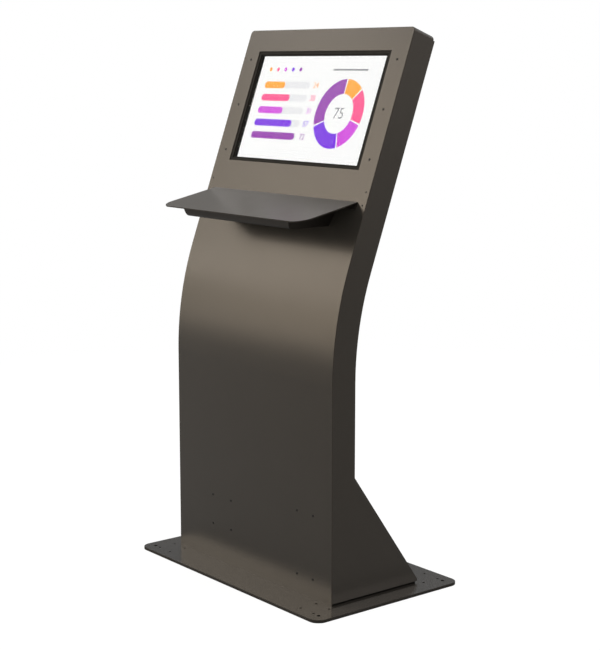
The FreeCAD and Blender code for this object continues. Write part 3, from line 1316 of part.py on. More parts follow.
save("base_plate", base_plate())
save("base_bolts", *base_bolts())
save("foot_plate", foot_plate())
save("cable_grommet", cable_grommet())
save("front_panel", front_panel())
save("side_panel_left", side_panel(-1))
save("side_panel_right", side_panel(1))
save("top_cap", top_cap())
save("rear_strip_left", rear_strip(-1))
save("rear_strip_right", rear_strip(1))
save("foot_strip_left", foot_strip(-1))
save("foot_strip_right", foot_strip(1))
save("rear_sill", rear_sill())
save("wedge_rail", wedge_rail())
save("rear_middle_panel", rear_middle_panel())
save("head_back_cover", head_back_cover())
save("rear_cover_screws", *rear_cover_screws())
save("display_bezel", display_bezel())
save("touch_glass", touch_glass())
save("lcd_panel", lcd_panel())
save("backlight_unit", backlight_unit())
save("monitor_case", monitor_case())
save("monitor_board", monitor_board())
save("monitor_bracket_left", monitor_bracket(-1))
save("monitor_bracket_right", monitor_bracket(1))
save("display_screws", *display_screws())
save("shelf_plate", shelf_plate())
save("shelf_box", shelf_box())
save("shelf_rail", shelf_rail())
save("shelf_bolts", *shelf_bolts())
save("shelf_rail_screws", *shelf_rail_screws())
save("column_screws", *column_screws())
save("computer_bracket", hat_bracket(COMPUTER_X, COMPUTER_Z, COMPUTER_HOLES))
save("computer_case", computer_case())
save("computer_lid", computer_lid())
save("computer_lid_screws", *computer_lid_screws())
save("computer_mount_screws", *unit_screws(COMPUTER_X, COMPUTER_Z, COMPUTER_HOLES))
save("computer_board", computer_board())
save("computer_heat_sink", computer_heat_sink())
save("computer_fan", computer_fan())
save("computer_drive", computer_drive())
save("computer_power_button", computer_power_button())
save("power_bracket", hat_bracket(POWER_X, POWER_Z, POWER_HOLES))
save("power_strip", power_strip())
save("power_strip_screws", *unit_screws(POWER_X, POWER_Z, POWER_HOLES))
save("power_switch", power_switch())
save("power_supply", power_supply())
save("supply_strap", supply_strap())
save("supply_strap_screws", *supply_strap_screws())
save("exhaust_fan_frame", exhaust_fan_frame())
save("exhaust_fan_rotor", exhaust_fan_rotor())
save("exhaust_fan_screws", *exhaust_fan_screws())
save("foot_door", foot_door())
save("foot_door_hinge_leaves", *foot_door_hinge_leaves())
save("foot_door_hinge_screws", *foot_door_hinge_screws())
save("foot_door_hinge_barrels", *foot_door_hinge_barrels())
save("foot_door_hinge_pins", *foot_door_hinge_pins())
save("foot_lock_housing", foot_lock_housing())
save("foot_lock_plug", foot_lock_plug())
save("foot_lock_cam", foot_lock_cam())
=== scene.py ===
"""Screen kiosk: paint and finishes, the screen's picture, small fittings and a studio round the frame."""
import json
import math

import bmesh
import bpy
from bpy.props import FloatProperty, FloatVectorProperty, PointerProperty
from mathutils import Matrix, Vector


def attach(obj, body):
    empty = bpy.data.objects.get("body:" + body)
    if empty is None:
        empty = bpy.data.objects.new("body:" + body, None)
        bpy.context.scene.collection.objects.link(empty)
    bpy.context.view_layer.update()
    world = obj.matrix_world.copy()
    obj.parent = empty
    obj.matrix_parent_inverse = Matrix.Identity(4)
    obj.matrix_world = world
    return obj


bl_info = {
    "name": "Screen kiosk",
    "version": (1, 0, 0),
    "blender": (4, 5, 0),
    "location": "View3D > Sidebar > Kiosk",
    "description": "Finishes, screen picture, fittings and studio for a free-standing screen kiosk",
    "category": "Object",
}

MM = 0.001
HEAD_LEAN = math.radians(20.0)
HEAD_UP = Vector((0, math.sin(HEAD_LEAN), math.cos(HEAD_LEAN)))
HEAD_OUT = Vector((0, -math.cos(HEAD_LEAN), math.sin(HEAD_LEAN)))

# Sockets of a mix node that mixes colours
MIX_SHARE = 0
MIX_FIRST = 6
MIX_SECOND = 7
MIX_RESULT = 2

# Nearly all values of a noise texture lie between these two
NOISE_LOW = 0.3
NOISE_HIGH = 0.7

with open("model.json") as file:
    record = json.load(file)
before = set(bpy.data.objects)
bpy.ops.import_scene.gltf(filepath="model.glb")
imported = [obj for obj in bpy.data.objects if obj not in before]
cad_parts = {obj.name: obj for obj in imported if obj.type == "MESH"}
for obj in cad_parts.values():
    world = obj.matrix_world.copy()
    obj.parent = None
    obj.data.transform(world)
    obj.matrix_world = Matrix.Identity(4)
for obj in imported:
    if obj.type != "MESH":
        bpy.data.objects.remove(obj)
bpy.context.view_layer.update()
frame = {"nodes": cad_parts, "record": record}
NODES = frame["nodes"]


# What all colours, all shares from 0 to 1 and all lamps have in common
COLOR = {"subtype": "COLOR", "size": 3, "min": 0, "max": 1}
SHARE = {"min": 0, "max": 1}
LAMP = {"min": 0, "max": 50}


class PaintSettings(bpy.types.PropertyGroup):
    """Powder coat on the cabinet, base plate and shelf."""
    color: FloatVectorProperty(
        name="Paint colour", description="Colour of the powder coat", default=(0.0138, 0.0122, 0.0102),
        **COLOR)
    gloss_tint: FloatVectorProperty(
        name="Gloss tint", description="Tint of the paint's shine seen straight on",
        default=(1.0, 0.85, 0.72), **COLOR)
    gloss: FloatProperty(name="Gloss", description="How strongly the paint shines", default=0.17, **SHARE)
    roughness: FloatProperty(
        name="Roughness", description="How satin the paint is", default=0.28, **SHARE)
    base_roughness: FloatProperty(
        name="Base roughness", description="How satin the paint on the base plate's top is", default=0.23,
        **SHARE)
    shelf_roughness: FloatProperty(
        name="Shelf roughness", description="How satin the paint on the shelf's top is", default=0.34,
        **SHARE)
    shelf_gloss: FloatProperty(
        name="Shelf gloss", description="How strongly the paint on the shelf shines", default=0.32, **SHARE)
    lacquer_roughness: FloatProperty(
        name="Lacquer roughness", description="How satin the lacquer on the base plate's top is",
        default=0.19, **SHARE)
    lacquer_ior: FloatProperty(
        name="Lacquer strength", description="Refractive index of that lacquer", default=1.74, min=1, max=3)
    grain: FloatProperty(
        name="Grain size", description="Width of one grain of the powder texture", default=0.0022,
        min=0.0005, max=0.02, unit="LENGTH")
    grain_depth: FloatProperty(
        name="Grain depth", description="Height of the powder texture", default=0.000025,
        min=0, max=0.001, unit="LENGTH")


class ScreenSettings(bpy.types.PropertyGroup):
    """Display and the picture on it."""
    white: FloatVectorProperty(
        name="Screen white", description="Colour of the lit screen", default=(0.93, 0.93, 0.93), **COLOR)
    border_side: FloatProperty(
        name="Side border", description="Width of the display's unlit border at the sides",
        default=0.0113, min=0, max=0.05, unit="LENGTH")
    border_top: FloatProperty(
        name="Top border", description="Width of the display's unlit border at the top",
        default=0.0072, min=0, max=0.05, unit="LENGTH")
    line_pitch: FloatProperty(
        name="Line pitch", description="Distance between the faint lines on the screen",
        default=0.0106, min=0.002, max=0.1, unit="LENGTH")
    orange: FloatVectorProperty(
        name="First colour", description="Colour of the first bar", default=(1.0, 0.38, 0.01), **COLOR)
    pink: FloatVectorProperty(
        name="Second colour", description="Colour of the second bar", default=(0.95, 0.06, 0.26), **COLOR)
    magenta: FloatVectorProperty(
        name="Third colour", description="Colour of the third bar", default=(0.62, 0.04, 0.70), **COLOR)
    violet: FloatVectorProperty(
        name="Fourth colour", description="Colour of the fourth bar", default=(0.17, 0.0, 0.74), **COLOR)
    purple: FloatVectorProperty(
        name="Fifth colour", description="Colour of the fifth bar", default=(0.28, 0.02, 0.40), **COLOR)
    track: FloatVectorProperty(
        name="Track colour", description="Colour of the tracks under the bars",
        default=(0.80, 0.80, 0.82), **COLOR)
    grey: FloatVectorProperty(
        name="Grey", description="Colour of the figure in the ring and of the thin rule",
        default=(0.30, 0.30, 0.32), **COLOR)


class FittingSettings(bpy.types.PropertyGroup):
    """Colours of the bezel, the screws and everything inside the cabinet."""
    bezel: FloatVectorProperty(
        name="Bezel", description="Colour of the display's bezel", default=(0.014, 0.0128, 0.011), **COLOR)
    screw: FloatVectorProperty(
        name="Screws", description="Colour of the blackened screws", default=(0.006, 0.0055, 0.005),
        **COLOR)
    zinc: FloatVectorProperty(
        name="Zinc", description="Colour of the zinc-plated fasteners", default=(0.55, 0.55, 0.52), **COLOR)
    sheet: FloatVectorProperty(
        name="Sheet", description="Colour of the galvanised sheet inside", default=(0.42, 0.43, 0.44),
        **COLOR)
    rubber: FloatVectorProperty(
        name="Rubber", description="Colour of the cable grommet", default=(0.015, 0.015, 0.015), **COLOR)
    case: FloatVectorProperty(
        name="Case", description="Colour of the computer's case and the fans",
        default=(0.020, 0.020, 0.021), **COLOR)
    socket: FloatVectorProperty(
        name="Sockets", description="Colour of the socket strip", default=(0.72, 0.72, 0.70), **COLOR)
    rocker: FloatVectorProperty(
        name="Rocker", description="Colour of the socket strip's switch", default=(0.50, 0.02, 0.02),
        **COLOR)
    board: FloatVectorProperty(
        name="Boards", description="Colour of the circuit boards", default=(0.02, 0.14, 0.055), **COLOR)
    aluminium: FloatVectorProperty(
        name="Aluminium", description="Colour of the heat sink and the drive", default=(0.62, 0.63, 0.64),
        **COLOR)
    nickel: FloatVectorProperty(
        name="Nickel", description="Colour of the door's lock", default=(0.62, 0.60, 0.56), **COLOR)
    brass: FloatVectorProperty(
        name="Brass", description="Colour of the contacts in the outlets", default=(0.70, 0.48, 0.20),
        **COLOR)


class StageSettings(bpy.types.PropertyGroup):
    """Studio: floor, sky, lamps and camera."""
    floor_color: FloatVectorProperty(
        name="Floor colour", description="Colour of the studio floor", default=(0.92, 0.92, 0.92), **COLOR)
    floor_in_gloss: FloatProperty(
        name="Floor in gloss", description="Brightness of the floor as the paint's shine mirrors it",
        default=0.79, **SHARE)
    fill: FloatProperty(
        name="Fill light", description="Strength of the even light from all round", default=0.6,
        min=0, max=2)
    key: FloatProperty(
        name="Key lamp", description="Brightness of the tall lamp at the front left", default=10.6, **LAMP)
    key_color: FloatVectorProperty(
        name="Key colour", description="Colour of the key lamp", default=(1.0, 0.925, 0.80), **COLOR)
    low_key: FloatProperty(
        name="Low key lamp", description="Brightness of the lamp under the key lamp", default=7.6, **LAMP)
    low_key_color: FloatVectorProperty(
        name="Low key colour", description="Colour of the lamp under the key lamp",
        default=(1.0, 0.90, 0.73), **COLOR)
    left: FloatProperty(
        name="Left lamp", description="Brightness of the lamp high on the left", default=8.2, **LAMP)
    front: FloatProperty(
        name="Front lamp", description="Brightness of the wide lamp at the front right", default=1.6,
        **LAMP)
    side: FloatProperty(
        name="Side lamp", description="Brightness of the low lamp behind on the right", default=1.5,
        **LAMP)
    rear: FloatProperty(
        name="Rear lamp", description="Brightness of the high lamp behind on the right", default=8.8,
        **LAMP)
    back: FloatProperty(
        name="Back lamp", description="Brightness of the lamp behind on the left", default=1.1, **LAMP)
    behind: FloatProperty(
        name="Behind lamp", description="Brightness of the wide lamp behind the kiosk", default=2.8, **LAMP)
    top: FloatProperty(
        name="Top lamp", description="Brightness of the lamp overhead", default=1.5, **LAMP)
    lamp_distance: FloatProperty(
        name="Lamp distance", description="Distance from the kiosk to the lamps round it", default=14.0,
        min=2, max=60, unit="LENGTH")
    camera_azimuth: FloatProperty(
        name="Camera azimuth", description="Direction of the camera round the kiosk",
        default=math.radians(51.279), subtype="ANGLE")
    camera_elevation: FloatProperty(
        name="Camera elevation", description="Height of the camera above the horizon",
        default=math.radians(9.582), subtype="ANGLE")
    camera_distance: FloatProperty(
        name="Camera distance", description="Distance from the camera to what it looks at",
        default=4.3444, min=1, max=20, unit="LENGTH")
    camera_aim: FloatVectorProperty(
        name="Camera aim", description="Point that the camera looks at", default=(0.0, 0.02095, 0.69545),
        size=3, subtype="XYZ", unit="LENGTH")
    camera_lens: FloatProperty(
        name="Lens", description="Focal length in millimetres", default=85.96, min=10, max=300)


def paint_settings():
    return bpy.context.scene.kiosk_paint


def screen_settings():
    return bpy.context.scene.kiosk_screen


def fitting_settings():
    return bpy.context.scene.kiosk_fittings


def stage_settings():
    return bpy.context.scene.kiosk_stage


class NodeTree:
    """The node tree of a material or a sky, with short calls to add nodes and join them."""

    def __init__(self, owner):
        owner.use_nodes = True
        self.nodes = owner.node_tree.nodes
        self.links = owner.node_tree.links

    def add(self, kind, **values):
        node = self.nodes.new(kind)
        for name, value in values.items():
            setattr(node, name, value)
        return node

    def feed(self, socket, value):
        """Join a socket to another node's output, or set it to a number or a colour."""
        if isinstance(value, bpy.types.NodeSocket):
            self.links.new(value, socket)
        elif isinstance(value, (int, float)):
            socket.default_value = value
        else:
            socket.default_value = (*value, 1.0)

    def spread(self, value, low, high, from_low=NOISE_LOW, from_high=NOISE_HIGH):
        """Map a value to a new range."""
        node = self.add("ShaderNodeMapRange")
        numbers = {"From Min": from_low, "From Max": from_high, "To Min": low, "To Max": high}
        for name, number in {**numbers, "Value": value}.items():
            self.feed(node.inputs[name], number)
        return node.outputs["Result"]

    def math(self, operation, *values, clamped=False):
        node = self.add("ShaderNodeMath", operation=operation, use_clamp=clamped)
        for socket, value in zip(node.inputs, values):
            self.feed(socket, value)
        return node.outputs["Value"]

    def blend(self, share, first, second):
        """Mix two colours, each a socket or three numbers."""
        node = self.add("ShaderNodeMix", data_type="RGBA")
        for index, value in ((MIX_SHARE, share), (MIX_FIRST, first), (MIX_SECOND, second)):
            self.feed(node.inputs[index], value)
        return node.outputs[MIX_RESULT]

    def part(self, vector, axis):
        """The X, Y or Z of a vector."""
        node = self.add("ShaderNodeSeparateXYZ")
        self.feed(node.inputs["Vector"], vector)
        return node.outputs[axis]

    def seen_rays(self):
        """1 for rays from the camera, off gloss and through glass, and 0 for the others."""
        path = self.add("ShaderNodeLightPath").outputs
        straight = self.math("MAXIMUM", path["Is Camera Ray"], path["Is Glossy Ray"])
        return self.math("MAXIMUM", straight, path["Is Transmission Ray"])

    def show(self, output, share, first, second):
        """Send the first shader to the output, mixed with this share of the second."""
        mix = self.add("ShaderNodeMixShader")
        for socket, value in zip(mix.inputs, (share, first, second)):
            self.feed(socket, value)
        self.feed(self.add(output).inputs["Surface"], mix.outputs["Shader"])


class FinishTree(NodeTree):
    """The node tree of a new material, built round its main shader."""

    def __init__(self, name):
        self.material = bpy.data.materials.new(name)
        super().__init__(self.material)
        self.shader = next(n for n in self.nodes if n.type == "BSDF_PRINCIPLED")
        self.place = self.add("ShaderNodeTexCoord").outputs["Object"]

    def set(self, **values):
        """Feed the shader's own sockets. A name's underscores stand for spaces."""
        for name, value in values.items():
            self.feed(self.shader.inputs[name.replace("_", " ")], value)

    def stretched(self, scale, turn=(0, 0, 0)):
        """Object coordinates, turned and then stretched."""
        node = self.add("ShaderNodeMapping")
        node.inputs["Rotation"].default_value = turn
        node.inputs["Scale"].default_value = scale
        self.feed(node.inputs["Vector"], self.place)
        return node.outputs["Vector"]

    def leaning(self):
        """Object coordinates turned so that Z runs up the leaning head."""
        return self.stretched((1, 1, 1), (HEAD_LEAN, 0, 0))

    def noise(self, size, detail, vector=None):
        """Noise with blobs of about this size in metres, from 0 to 1."""
        node = self.add("ShaderNodeTexNoise")
        self.feed(node.inputs["Scale"], 1.0 / size)
        self.feed(node.inputs["Detail"], detail)
        self.feed(node.inputs["Vector"], vector or self.place)
        return node.outputs["Fac"]

    def patches(self, size, detail):
        """Soft patches of about this size in metres, with the full range from 0 to 1."""
        return self.spread(self.noise(size, detail), 0.0, 1.0)

    def varied(self, share, color, darker, paler):
        """The colour, darker by one number where the share is 0 and paler by another where it is 1."""
        return self.blend(share, lighter(color, -darker), lighter(color, paler))

    def faces_up(self, limit):
        """1 on faces that look up more than this, else 0."""
        normal = self.add("ShaderNodeNewGeometry").outputs["True Normal"]
        return self.math("GREATER_THAN", self.part(normal, "Z"), limit)

    def edged(self, limit, edge_painted_shade, top_painted_light, edge_roughness):
        """Paint light on tops and shade on edges by multiplying the colour, and multiply the roughness on
        edges.

        A face is a top where it looks up more than the limit, and an edge elsewhere.
        """
        top = self.faces_up(limit)
        color, roughness = (self.shader.inputs[name] for name in ("Base Color", "Roughness"))
        scaled = self.add("ShaderNodeVectorMath", operation="SCALE")
        self.feed(scaled.inputs["Vector"], color.links[0].from_socket)
        self.feed(scaled.inputs["Scale"], self.spread(top, edge_painted_shade, top_painted_light, 0.0, 1.0))
        duller = self.spread(top, edge_roughness, 1.0, 0.0, 1.0)
        self.set(
            Base_Color=scaled.outputs["Vector"],
            Roughness=self.math("MULTIPLY", roughness.links[0].from_socket, duller))
        return top

    def bumped(self, height, distance):
        node = self.add("ShaderNodeBump")
        self.feed(node.inputs["Distance"], distance)
        self.feed(node.inputs["Height"], height)
        self.set(Normal=node.outputs["Normal"])


def lighter(color, share):
    """The colour made lighter, or darker with a negative share."""
    return tuple(min(1.0, c * (1.0 + share)) for c in color)


def powder_coat(name, shade=0.0, roughness=None, gloss=None):
    """Satin powder coat: fine grain in colour and height, a little unevenness over the whole sheet."""
    grain_range = (-0.2, 1.2)
    grain_shade = 0.1
    cloud_size = 0.16
    cloud_shade = 0.05
    cloud_share = 0.5
    patch_size = 0.05
    unevenness = 0.006
    paint = paint_settings()
    roughness = paint.roughness if roughness is None else roughness
    gloss = paint.gloss if gloss is None else gloss
    tree = FinishTree(name)
    # A negative shade darkens the whole paint, which the foot plate and the shelf box use as painted shade
    color = lighter(paint.color, shade)
    grain = tree.noise(paint.grain, detail=3.0)
    fine = tree.varied(tree.spread(grain, *grain_range), color, grain_shade, grain_shade)
    cloud = tree.varied(tree.patches(cloud_size, detail=2.0), color, cloud_shade, cloud_shade)
    patch = tree.noise(patch_size, detail=3.0)
    tree.set(
        Base_Color=tree.blend(cloud_share, fine, cloud),
        Roughness=tree.spread(patch, roughness - unevenness, roughness + unevenness),
        Specular_IOR_Level=gloss, Specular_Tint=paint.gloss_tint)
    tree.bumped(grain, paint.grain_depth)
    return tree


def lacquered_coat(name):
    """The same paint for the base plate, with a clear lacquer on its top, painted light that makes the top
    paler, and painted shade on its duller cut edges.
    """
    paint = paint_settings()
    tree = powder_coat(name, roughness=paint.base_roughness)
    # Painted light and shade: the top's colour is made 1.6 times paler and the cut edges' colour half as
    # dark
    top = tree.edged(limit=0.95, edge_painted_shade=0.5, top_painted_light=1.6, edge_roughness=3.0)
    tree.set(Coat_Weight=top, Coat_Roughness=paint.lacquer_roughness, Coat_IOR=paint.lacquer_ior)
    return tree


def shelf_coat(name):
    """The same paint for the shelf, softer on top and duller on its folded front, with painted light that
    makes the top paler and painted shade that darkens the folded front.
    """
    paint = paint_settings()
    tree = powder_coat(name, roughness=paint.shelf_roughness, gloss=paint.shelf_gloss)
    # Painted light and shade: the top's colour is made 2.8 times paler and the folded front's colour much
    # darker
    tree.edged(limit=0.5, edge_painted_shade=0.15, top_painted_light=2.8, edge_roughness=1.9)
    return tree


def moulded_plastic(name, color, roughness, grain=1.2 * MM, gloss=0.5):
    """Moulded plastic with a fine leather grain."""
    grain_depth = 0.03 * MM
    patch_size = 20 * MM
    shade = 0.08
    unevenness = 0.04
    tree = FinishTree(name)
    leather = tree.noise(grain, detail=2.0)
    tree.set(
        Base_Color=tree.varied(tree.patches(patch_size, detail=2.0), color, shade, shade),
        Roughness=tree.spread(leather, roughness - unevenness, roughness + unevenness),
        Specular_IOR_Level=gloss)
    tree.bumped(leather, grain_depth)
    return tree.material


def bare_metal(name, color, roughness, grain=(40, 900, 900), metallic=1.0, gloss=0.5):
    """Metal with fine lines along one direction. The grain is how fine they are along X, Y and Z."""
    darker = 0.12
    paler = 0.08
    smoother = 0.05
    rougher = 0.06
    line_depth = 0.02 * MM
    tree = FinishTree(name)
    lines = tree.noise(1.0, detail=4.0, vector=tree.stretched(grain))
    tree.set(
        Base_Color=tree.varied(tree.spread(lines, 0.0, 1.0), color, darker, paler),
        Roughness=tree.spread(lines, roughness - smoother, roughness + rougher),
        Metallic=metallic, Specular_IOR_Level=gloss)
    tree.bumped(lines, line_depth)
    return tree.material


def spangled_steel(name, color):
    """Galvanised sheet with its crystal pattern."""
    crystals_to_metre = 110.0
    darker = 0.14
    paler = 0.08
    roughness = (0.34, 0.5)
    tree = FinishTree(name)
    spangle = tree.add("ShaderNodeTexVoronoi")
    tree.feed(spangle.inputs["Scale"], crystals_to_metre)
    tree.feed(spangle.inputs["Vector"], tree.place)
    tone = tree.spread(spangle.outputs["Color"], 0.0, 1.0, 0.0, 1.0)
    tree.set(
        Base_Color=tree.varied(tone, color, darker, paler),
        Roughness=tree.spread(spangle.outputs["Color"], *roughness, 0.0, 1.0), Metallic=0.9)
    return tree.material


def soft_rubber(name, color):
    """Matte rubber with a faint bloom."""
    bloom_size = 8 * MM
    bloom_shade = 0.5
    roughness = (0.7, 0.85)
    pore_size = 0.9 * MM
    pore_depth = 0.04 * MM
    tree = FinishTree(name)
    bloom = tree.noise(bloom_size, detail=4.0)
    tree.set(
        Base_Color=tree.varied(tree.spread(bloom, 0.0, 1.0), color, 0.0, bloom_shade),
        Roughness=tree.spread(bloom, *roughness))
    tree.bumped(tree.noise(pore_size, detail=2.0), pore_depth)
    return tree.material


def solder_mask(name, color):
    """Circuit board: solder mask with faint copper tracks under it."""
    track_scale = 60.0
    track_width = 0.03
    track_shade = 0.7
    track_height = 0.03 * MM
    upright = (math.pi / 2, 0, 0)
    tree = FinishTree(name)
    tracks = tree.add("ShaderNodeTexBrick")
    tree.feed(tracks.inputs["Scale"], track_scale)
    tree.feed(tracks.inputs["Mortar Size"], track_width)
    tree.feed(tracks.inputs["Vector"], tree.stretched((1, 1, 1), upright))
    tree.set(Base_Color=tree.varied(tracks.outputs["Fac"], color, 0.0, track_shade), Roughness=0.35)
    tree.bumped(tracks.outputs["Fac"], track_height)
    return tree.material


def touch_glass_finish(name):
    """Clear glass with an anti-reflection coat, which its low refractive index stands for."""
    smear_size = 30 * MM
    roughness = (0.03, 0.06)
    tree = FinishTree(name)
    tree.set(
        Base_Color=(0.99, 0.995, 0.992), Transmission_Weight=1.0, IOR=1.05,
        Roughness=tree.spread(tree.noise(smear_size, detail=3.0), *roughness))
    return tree.material


def lit_surface(name):
    """A surface of the display that glows and doesn't shine."""
    tree = FinishTree(name)
    tree.set(Base_Color=(0.02, 0.02, 0.02), Roughness=0.4, Specular_IOR_Level=0.0, Emission_Strength=1.0)
    return tree


def lit_display(name):
    """White lit display with faint level lines and an unlit black border."""
    line_share = 0.1
    line_shade = 0.09
    unlit = (0.002, 0.002, 0.002)
    screen = screen_settings()
    tree = lit_surface(name)
    place = tree.leaning()
    height = tree.part(place, "Z")
    phase = tree.math("FRACT", tree.math("DIVIDE", height, screen.line_pitch))
    line = tree.math("LESS_THAN", phase, line_share)
    _, half_width, _ = leaning_face("lcd_panel")
    _, high = screen_span()
    aside = tree.math("ABSOLUTE", tree.part(place, "X"))
    beside = tree.math("GREATER_THAN", aside, half_width - screen.border_side)
    above = tree.math("GREATER_THAN", height, high - screen.border_top)
    border = tree.math("MAXIMUM", beside, above)
    lit = tree.blend(line, screen.white, lighter(screen.white, -line_shade))
    tree.set(Emission_Color=tree.blend(border, lit, unlit))
    return tree.material


def lit_color(name, color):
    """Part of the screen's picture in one plain lit colour."""
    tree = lit_surface(name)
    tree.set(Emission_Color=color)
    return tree.material


def rising_color(name, color, rise):
    """Part of the screen's picture in a lit colour that grows paler upwards by this share."""
    tree = lit_surface(name)
    height = tree.spread(tree.part(tree.leaning(), "Z"), 0.0, 1.0, *screen_span())
    pale = tuple(c + (1.0 - c) * rise for c in color)
    tree.set(Emission_Color=tree.blend(height, color, pale))
    return tree.material


def finish_nodes(material, names):
    """Give CAD nodes a material on every slot."""
    for name in names:
        mesh = NODES[name].data
        if not mesh.materials:
            mesh.materials.append(material)
        for index in range(len(mesh.materials)):
            mesh.materials[index] = material


def leaning_face(node):
    """Centre of a head node's front face, with its half width and half height along the lean."""
    points = [v.co for v in NODES[node].data.vertices]
    out = max(p.dot(HEAD_OUT) for p in points)
    ups = [p.dot(HEAD_UP) for p in points]
    rights = [p.x for p in points]
    middle_up = (max(ups) + min(ups)) / 2
    middle_right = (max(rights) + min(rights)) / 2
    centre = HEAD_OUT * out + HEAD_UP * middle_up + Vector((middle_right, 0, 0))
    return centre, (max(rights) - min(rights)) / 2, (max(ups) - min(ups)) / 2


def screen_span():
    """Lowest and highest point of the display, measured up the lean as the display's material sees it."""
    centre, _, half_height = leaning_face("lcd_panel")
    middle = centre.dot(HEAD_UP)
    return middle - half_height, middle + half_height


def finished_mesh(name, mesh, materials):
    """A mesh with its faces turned outwards and these materials."""
    bmesh.ops.recalc_face_normals(mesh, faces=mesh.faces)
    made = bpy.data.meshes.new(name)
    mesh.to_mesh(made)
    mesh.free()
    for material in materials:
        made.materials.append(material)
    return made


def new_piece(name, mesh, body):
    piece = bpy.data.objects.new(name, mesh)
    bpy.context.scene.collection.objects.link(piece)
    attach(piece, body)


class PictureSheet:
    """Flat shapes drawn in millimetres from the display's centre, laid just in front of it."""

    THICK = 0.05
    PILL_STEP = 15
    DISC_STEP = 10
    RING_STEP = 6
    FIGURE_RESOLUTION = 3

    def __init__(self, lift):
        self.mesh = bmesh.new()
        self.lift = lift * MM
        self.centre, _, _ = leaning_face("lcd_panel")

    def vertex(self, x, z, lift):
        place = self.centre + Vector((x * MM, 0, 0)) + HEAD_UP * (z * MM) + HEAD_OUT * lift
        return self.mesh.verts.new(place)

    def color_faces(self, faces, slot):
        for face in faces:
            face.material_index = slot

    def outline(self, points, slot, level=0):
        """A thin plate with this outline."""
        base = self.lift + level * self.THICK * MM
        lifts = (base, base + self.THICK * MM)
        back, front = ([self.vertex(x, z, lift) for x, z in points] for lift in lifts)
        faces = [self.mesh.faces.new(front), self.mesh.faces.new(list(reversed(back)))]
        for i in range(len(points)):
            j = (i + 1) % len(points)
            faces.append(self.mesh.faces.new((back[i], back[j], front[j], front[i])))
        self.color_faces(faces, slot)

    def arc(self, x, z, radius, start, turn, step):
        """Points on an arc with both its ends, where the angles are in degrees."""
        angles = [math.radians(start + degrees) for degrees in range(0, turn + 1, step)]
        return [(x + radius * math.cos(angle), z + radius * math.sin(angle)) for angle in angles]

    def pill(self, x0, x1, z, height, slot, level=0):
        """A bar with round ends."""
        radius = height / 2
        right = self.arc(x1 - radius, z, radius, -90, 180, self.PILL_STEP)
        left = self.arc(x0 + radius, z, radius, 90, 180, self.PILL_STEP)
        self.outline(right + left, slot, level)

    def disc(self, x, z, radius, slot):
        self.outline(self.arc(x, z, radius, 0, 360 - self.DISC_STEP, self.DISC_STEP), slot)

    def ring(self, x, z, inner, outer, start, end, slot):
        """Part of a ring between two angles in degrees, made of short flat pieces."""
        steps = max(2, int(abs(end - start) / self.RING_STEP))
        back, front = self.lift, self.lift + self.THICK * MM
        rows = []
        for i in range(steps + 1):
            turn = math.radians(start + (end - start) * i / steps)
            rows.append([self.vertex(x + r * math.cos(turn), z + r * math.sin(turn), lift)
                         for r, lift in ((inner, back), (outer, back), (outer, front), (inner, front))])
        faces = [self.mesh.faces.new(rows[0]), self.mesh.faces.new(list(reversed(rows[-1])))]
        for a, b in zip(rows, rows[1:]):
            for i in range(len(a)):
                j = (i + 1) % len(a)
                faces.append(self.mesh.faces.new((a[i], b[i], b[j], a[j])))
        self.color_faces(faces, slot)

    def number(self, text, x, z, height, slot):
        """Plain figures, turned into flat shapes."""
        curve = bpy.data.curves.new("figures", "FONT")
        curve.body = text
        curve.size = height
        curve.align_x = "CENTER"
        curve.align_y = "CENTER"
        curve.resolution_u = self.FIGURE_RESOLUTION
        writer = bpy.data.objects.new("figures", curve)
        bpy.context.scene.collection.objects.link(writer)
        bpy.context.view_layer.update()
        flat = bpy.data.meshes.new_from_object(writer.evaluated_get(bpy.context.evaluated_depsgraph_get()))
        lift = self.lift + self.THICK * MM
        verts = [self.vertex(x + v.co.x, z + v.co.y, lift) for v in flat.vertices]
        faces = [self.mesh.faces.new([verts[i] for i in polygon.vertices]) for polygon in flat.polygons]
        self.color_faces(faces, slot)
        bpy.data.objects.remove(writer)
        bpy.data.curves.remove(curve)
        bpy.data.meshes.remove(flat)


def round_bar(mesh, start, end, radius):
    """Closed round bar between two points, with its ends slightly chamfered."""
    sides = 16
    chamfer_share = 0.2
    edge = radius * chamfer_share
    narrow = radius - edge
    length = (end - start).length
    turn = Vector((0, 0, 1)).rotation_difference(end - start).to_matrix().to_4x4()
    rings = []
    for along, size in ((0, narrow), (edge, radius), (length - edge, radius), (length, narrow)):
        ring = []
        for i in range(sides):
            angle = 2 * math.pi * i / sides
            local = Vector((size * math.cos(angle), size * math.sin(angle), along))
            ring.append(mesh.verts.new(Matrix.Translation(start) @ turn @ local))
        rings.append(ring)
    mesh.faces.new(list(reversed(rings[0])))
    mesh.faces.new(rings[-1])
    for a, b in zip(rings, rings[1:]):
        for i in range(sides):
            j = (i + 1) % sides
            mesh.faces.new((a[i], a[j], b[j], b[i]))


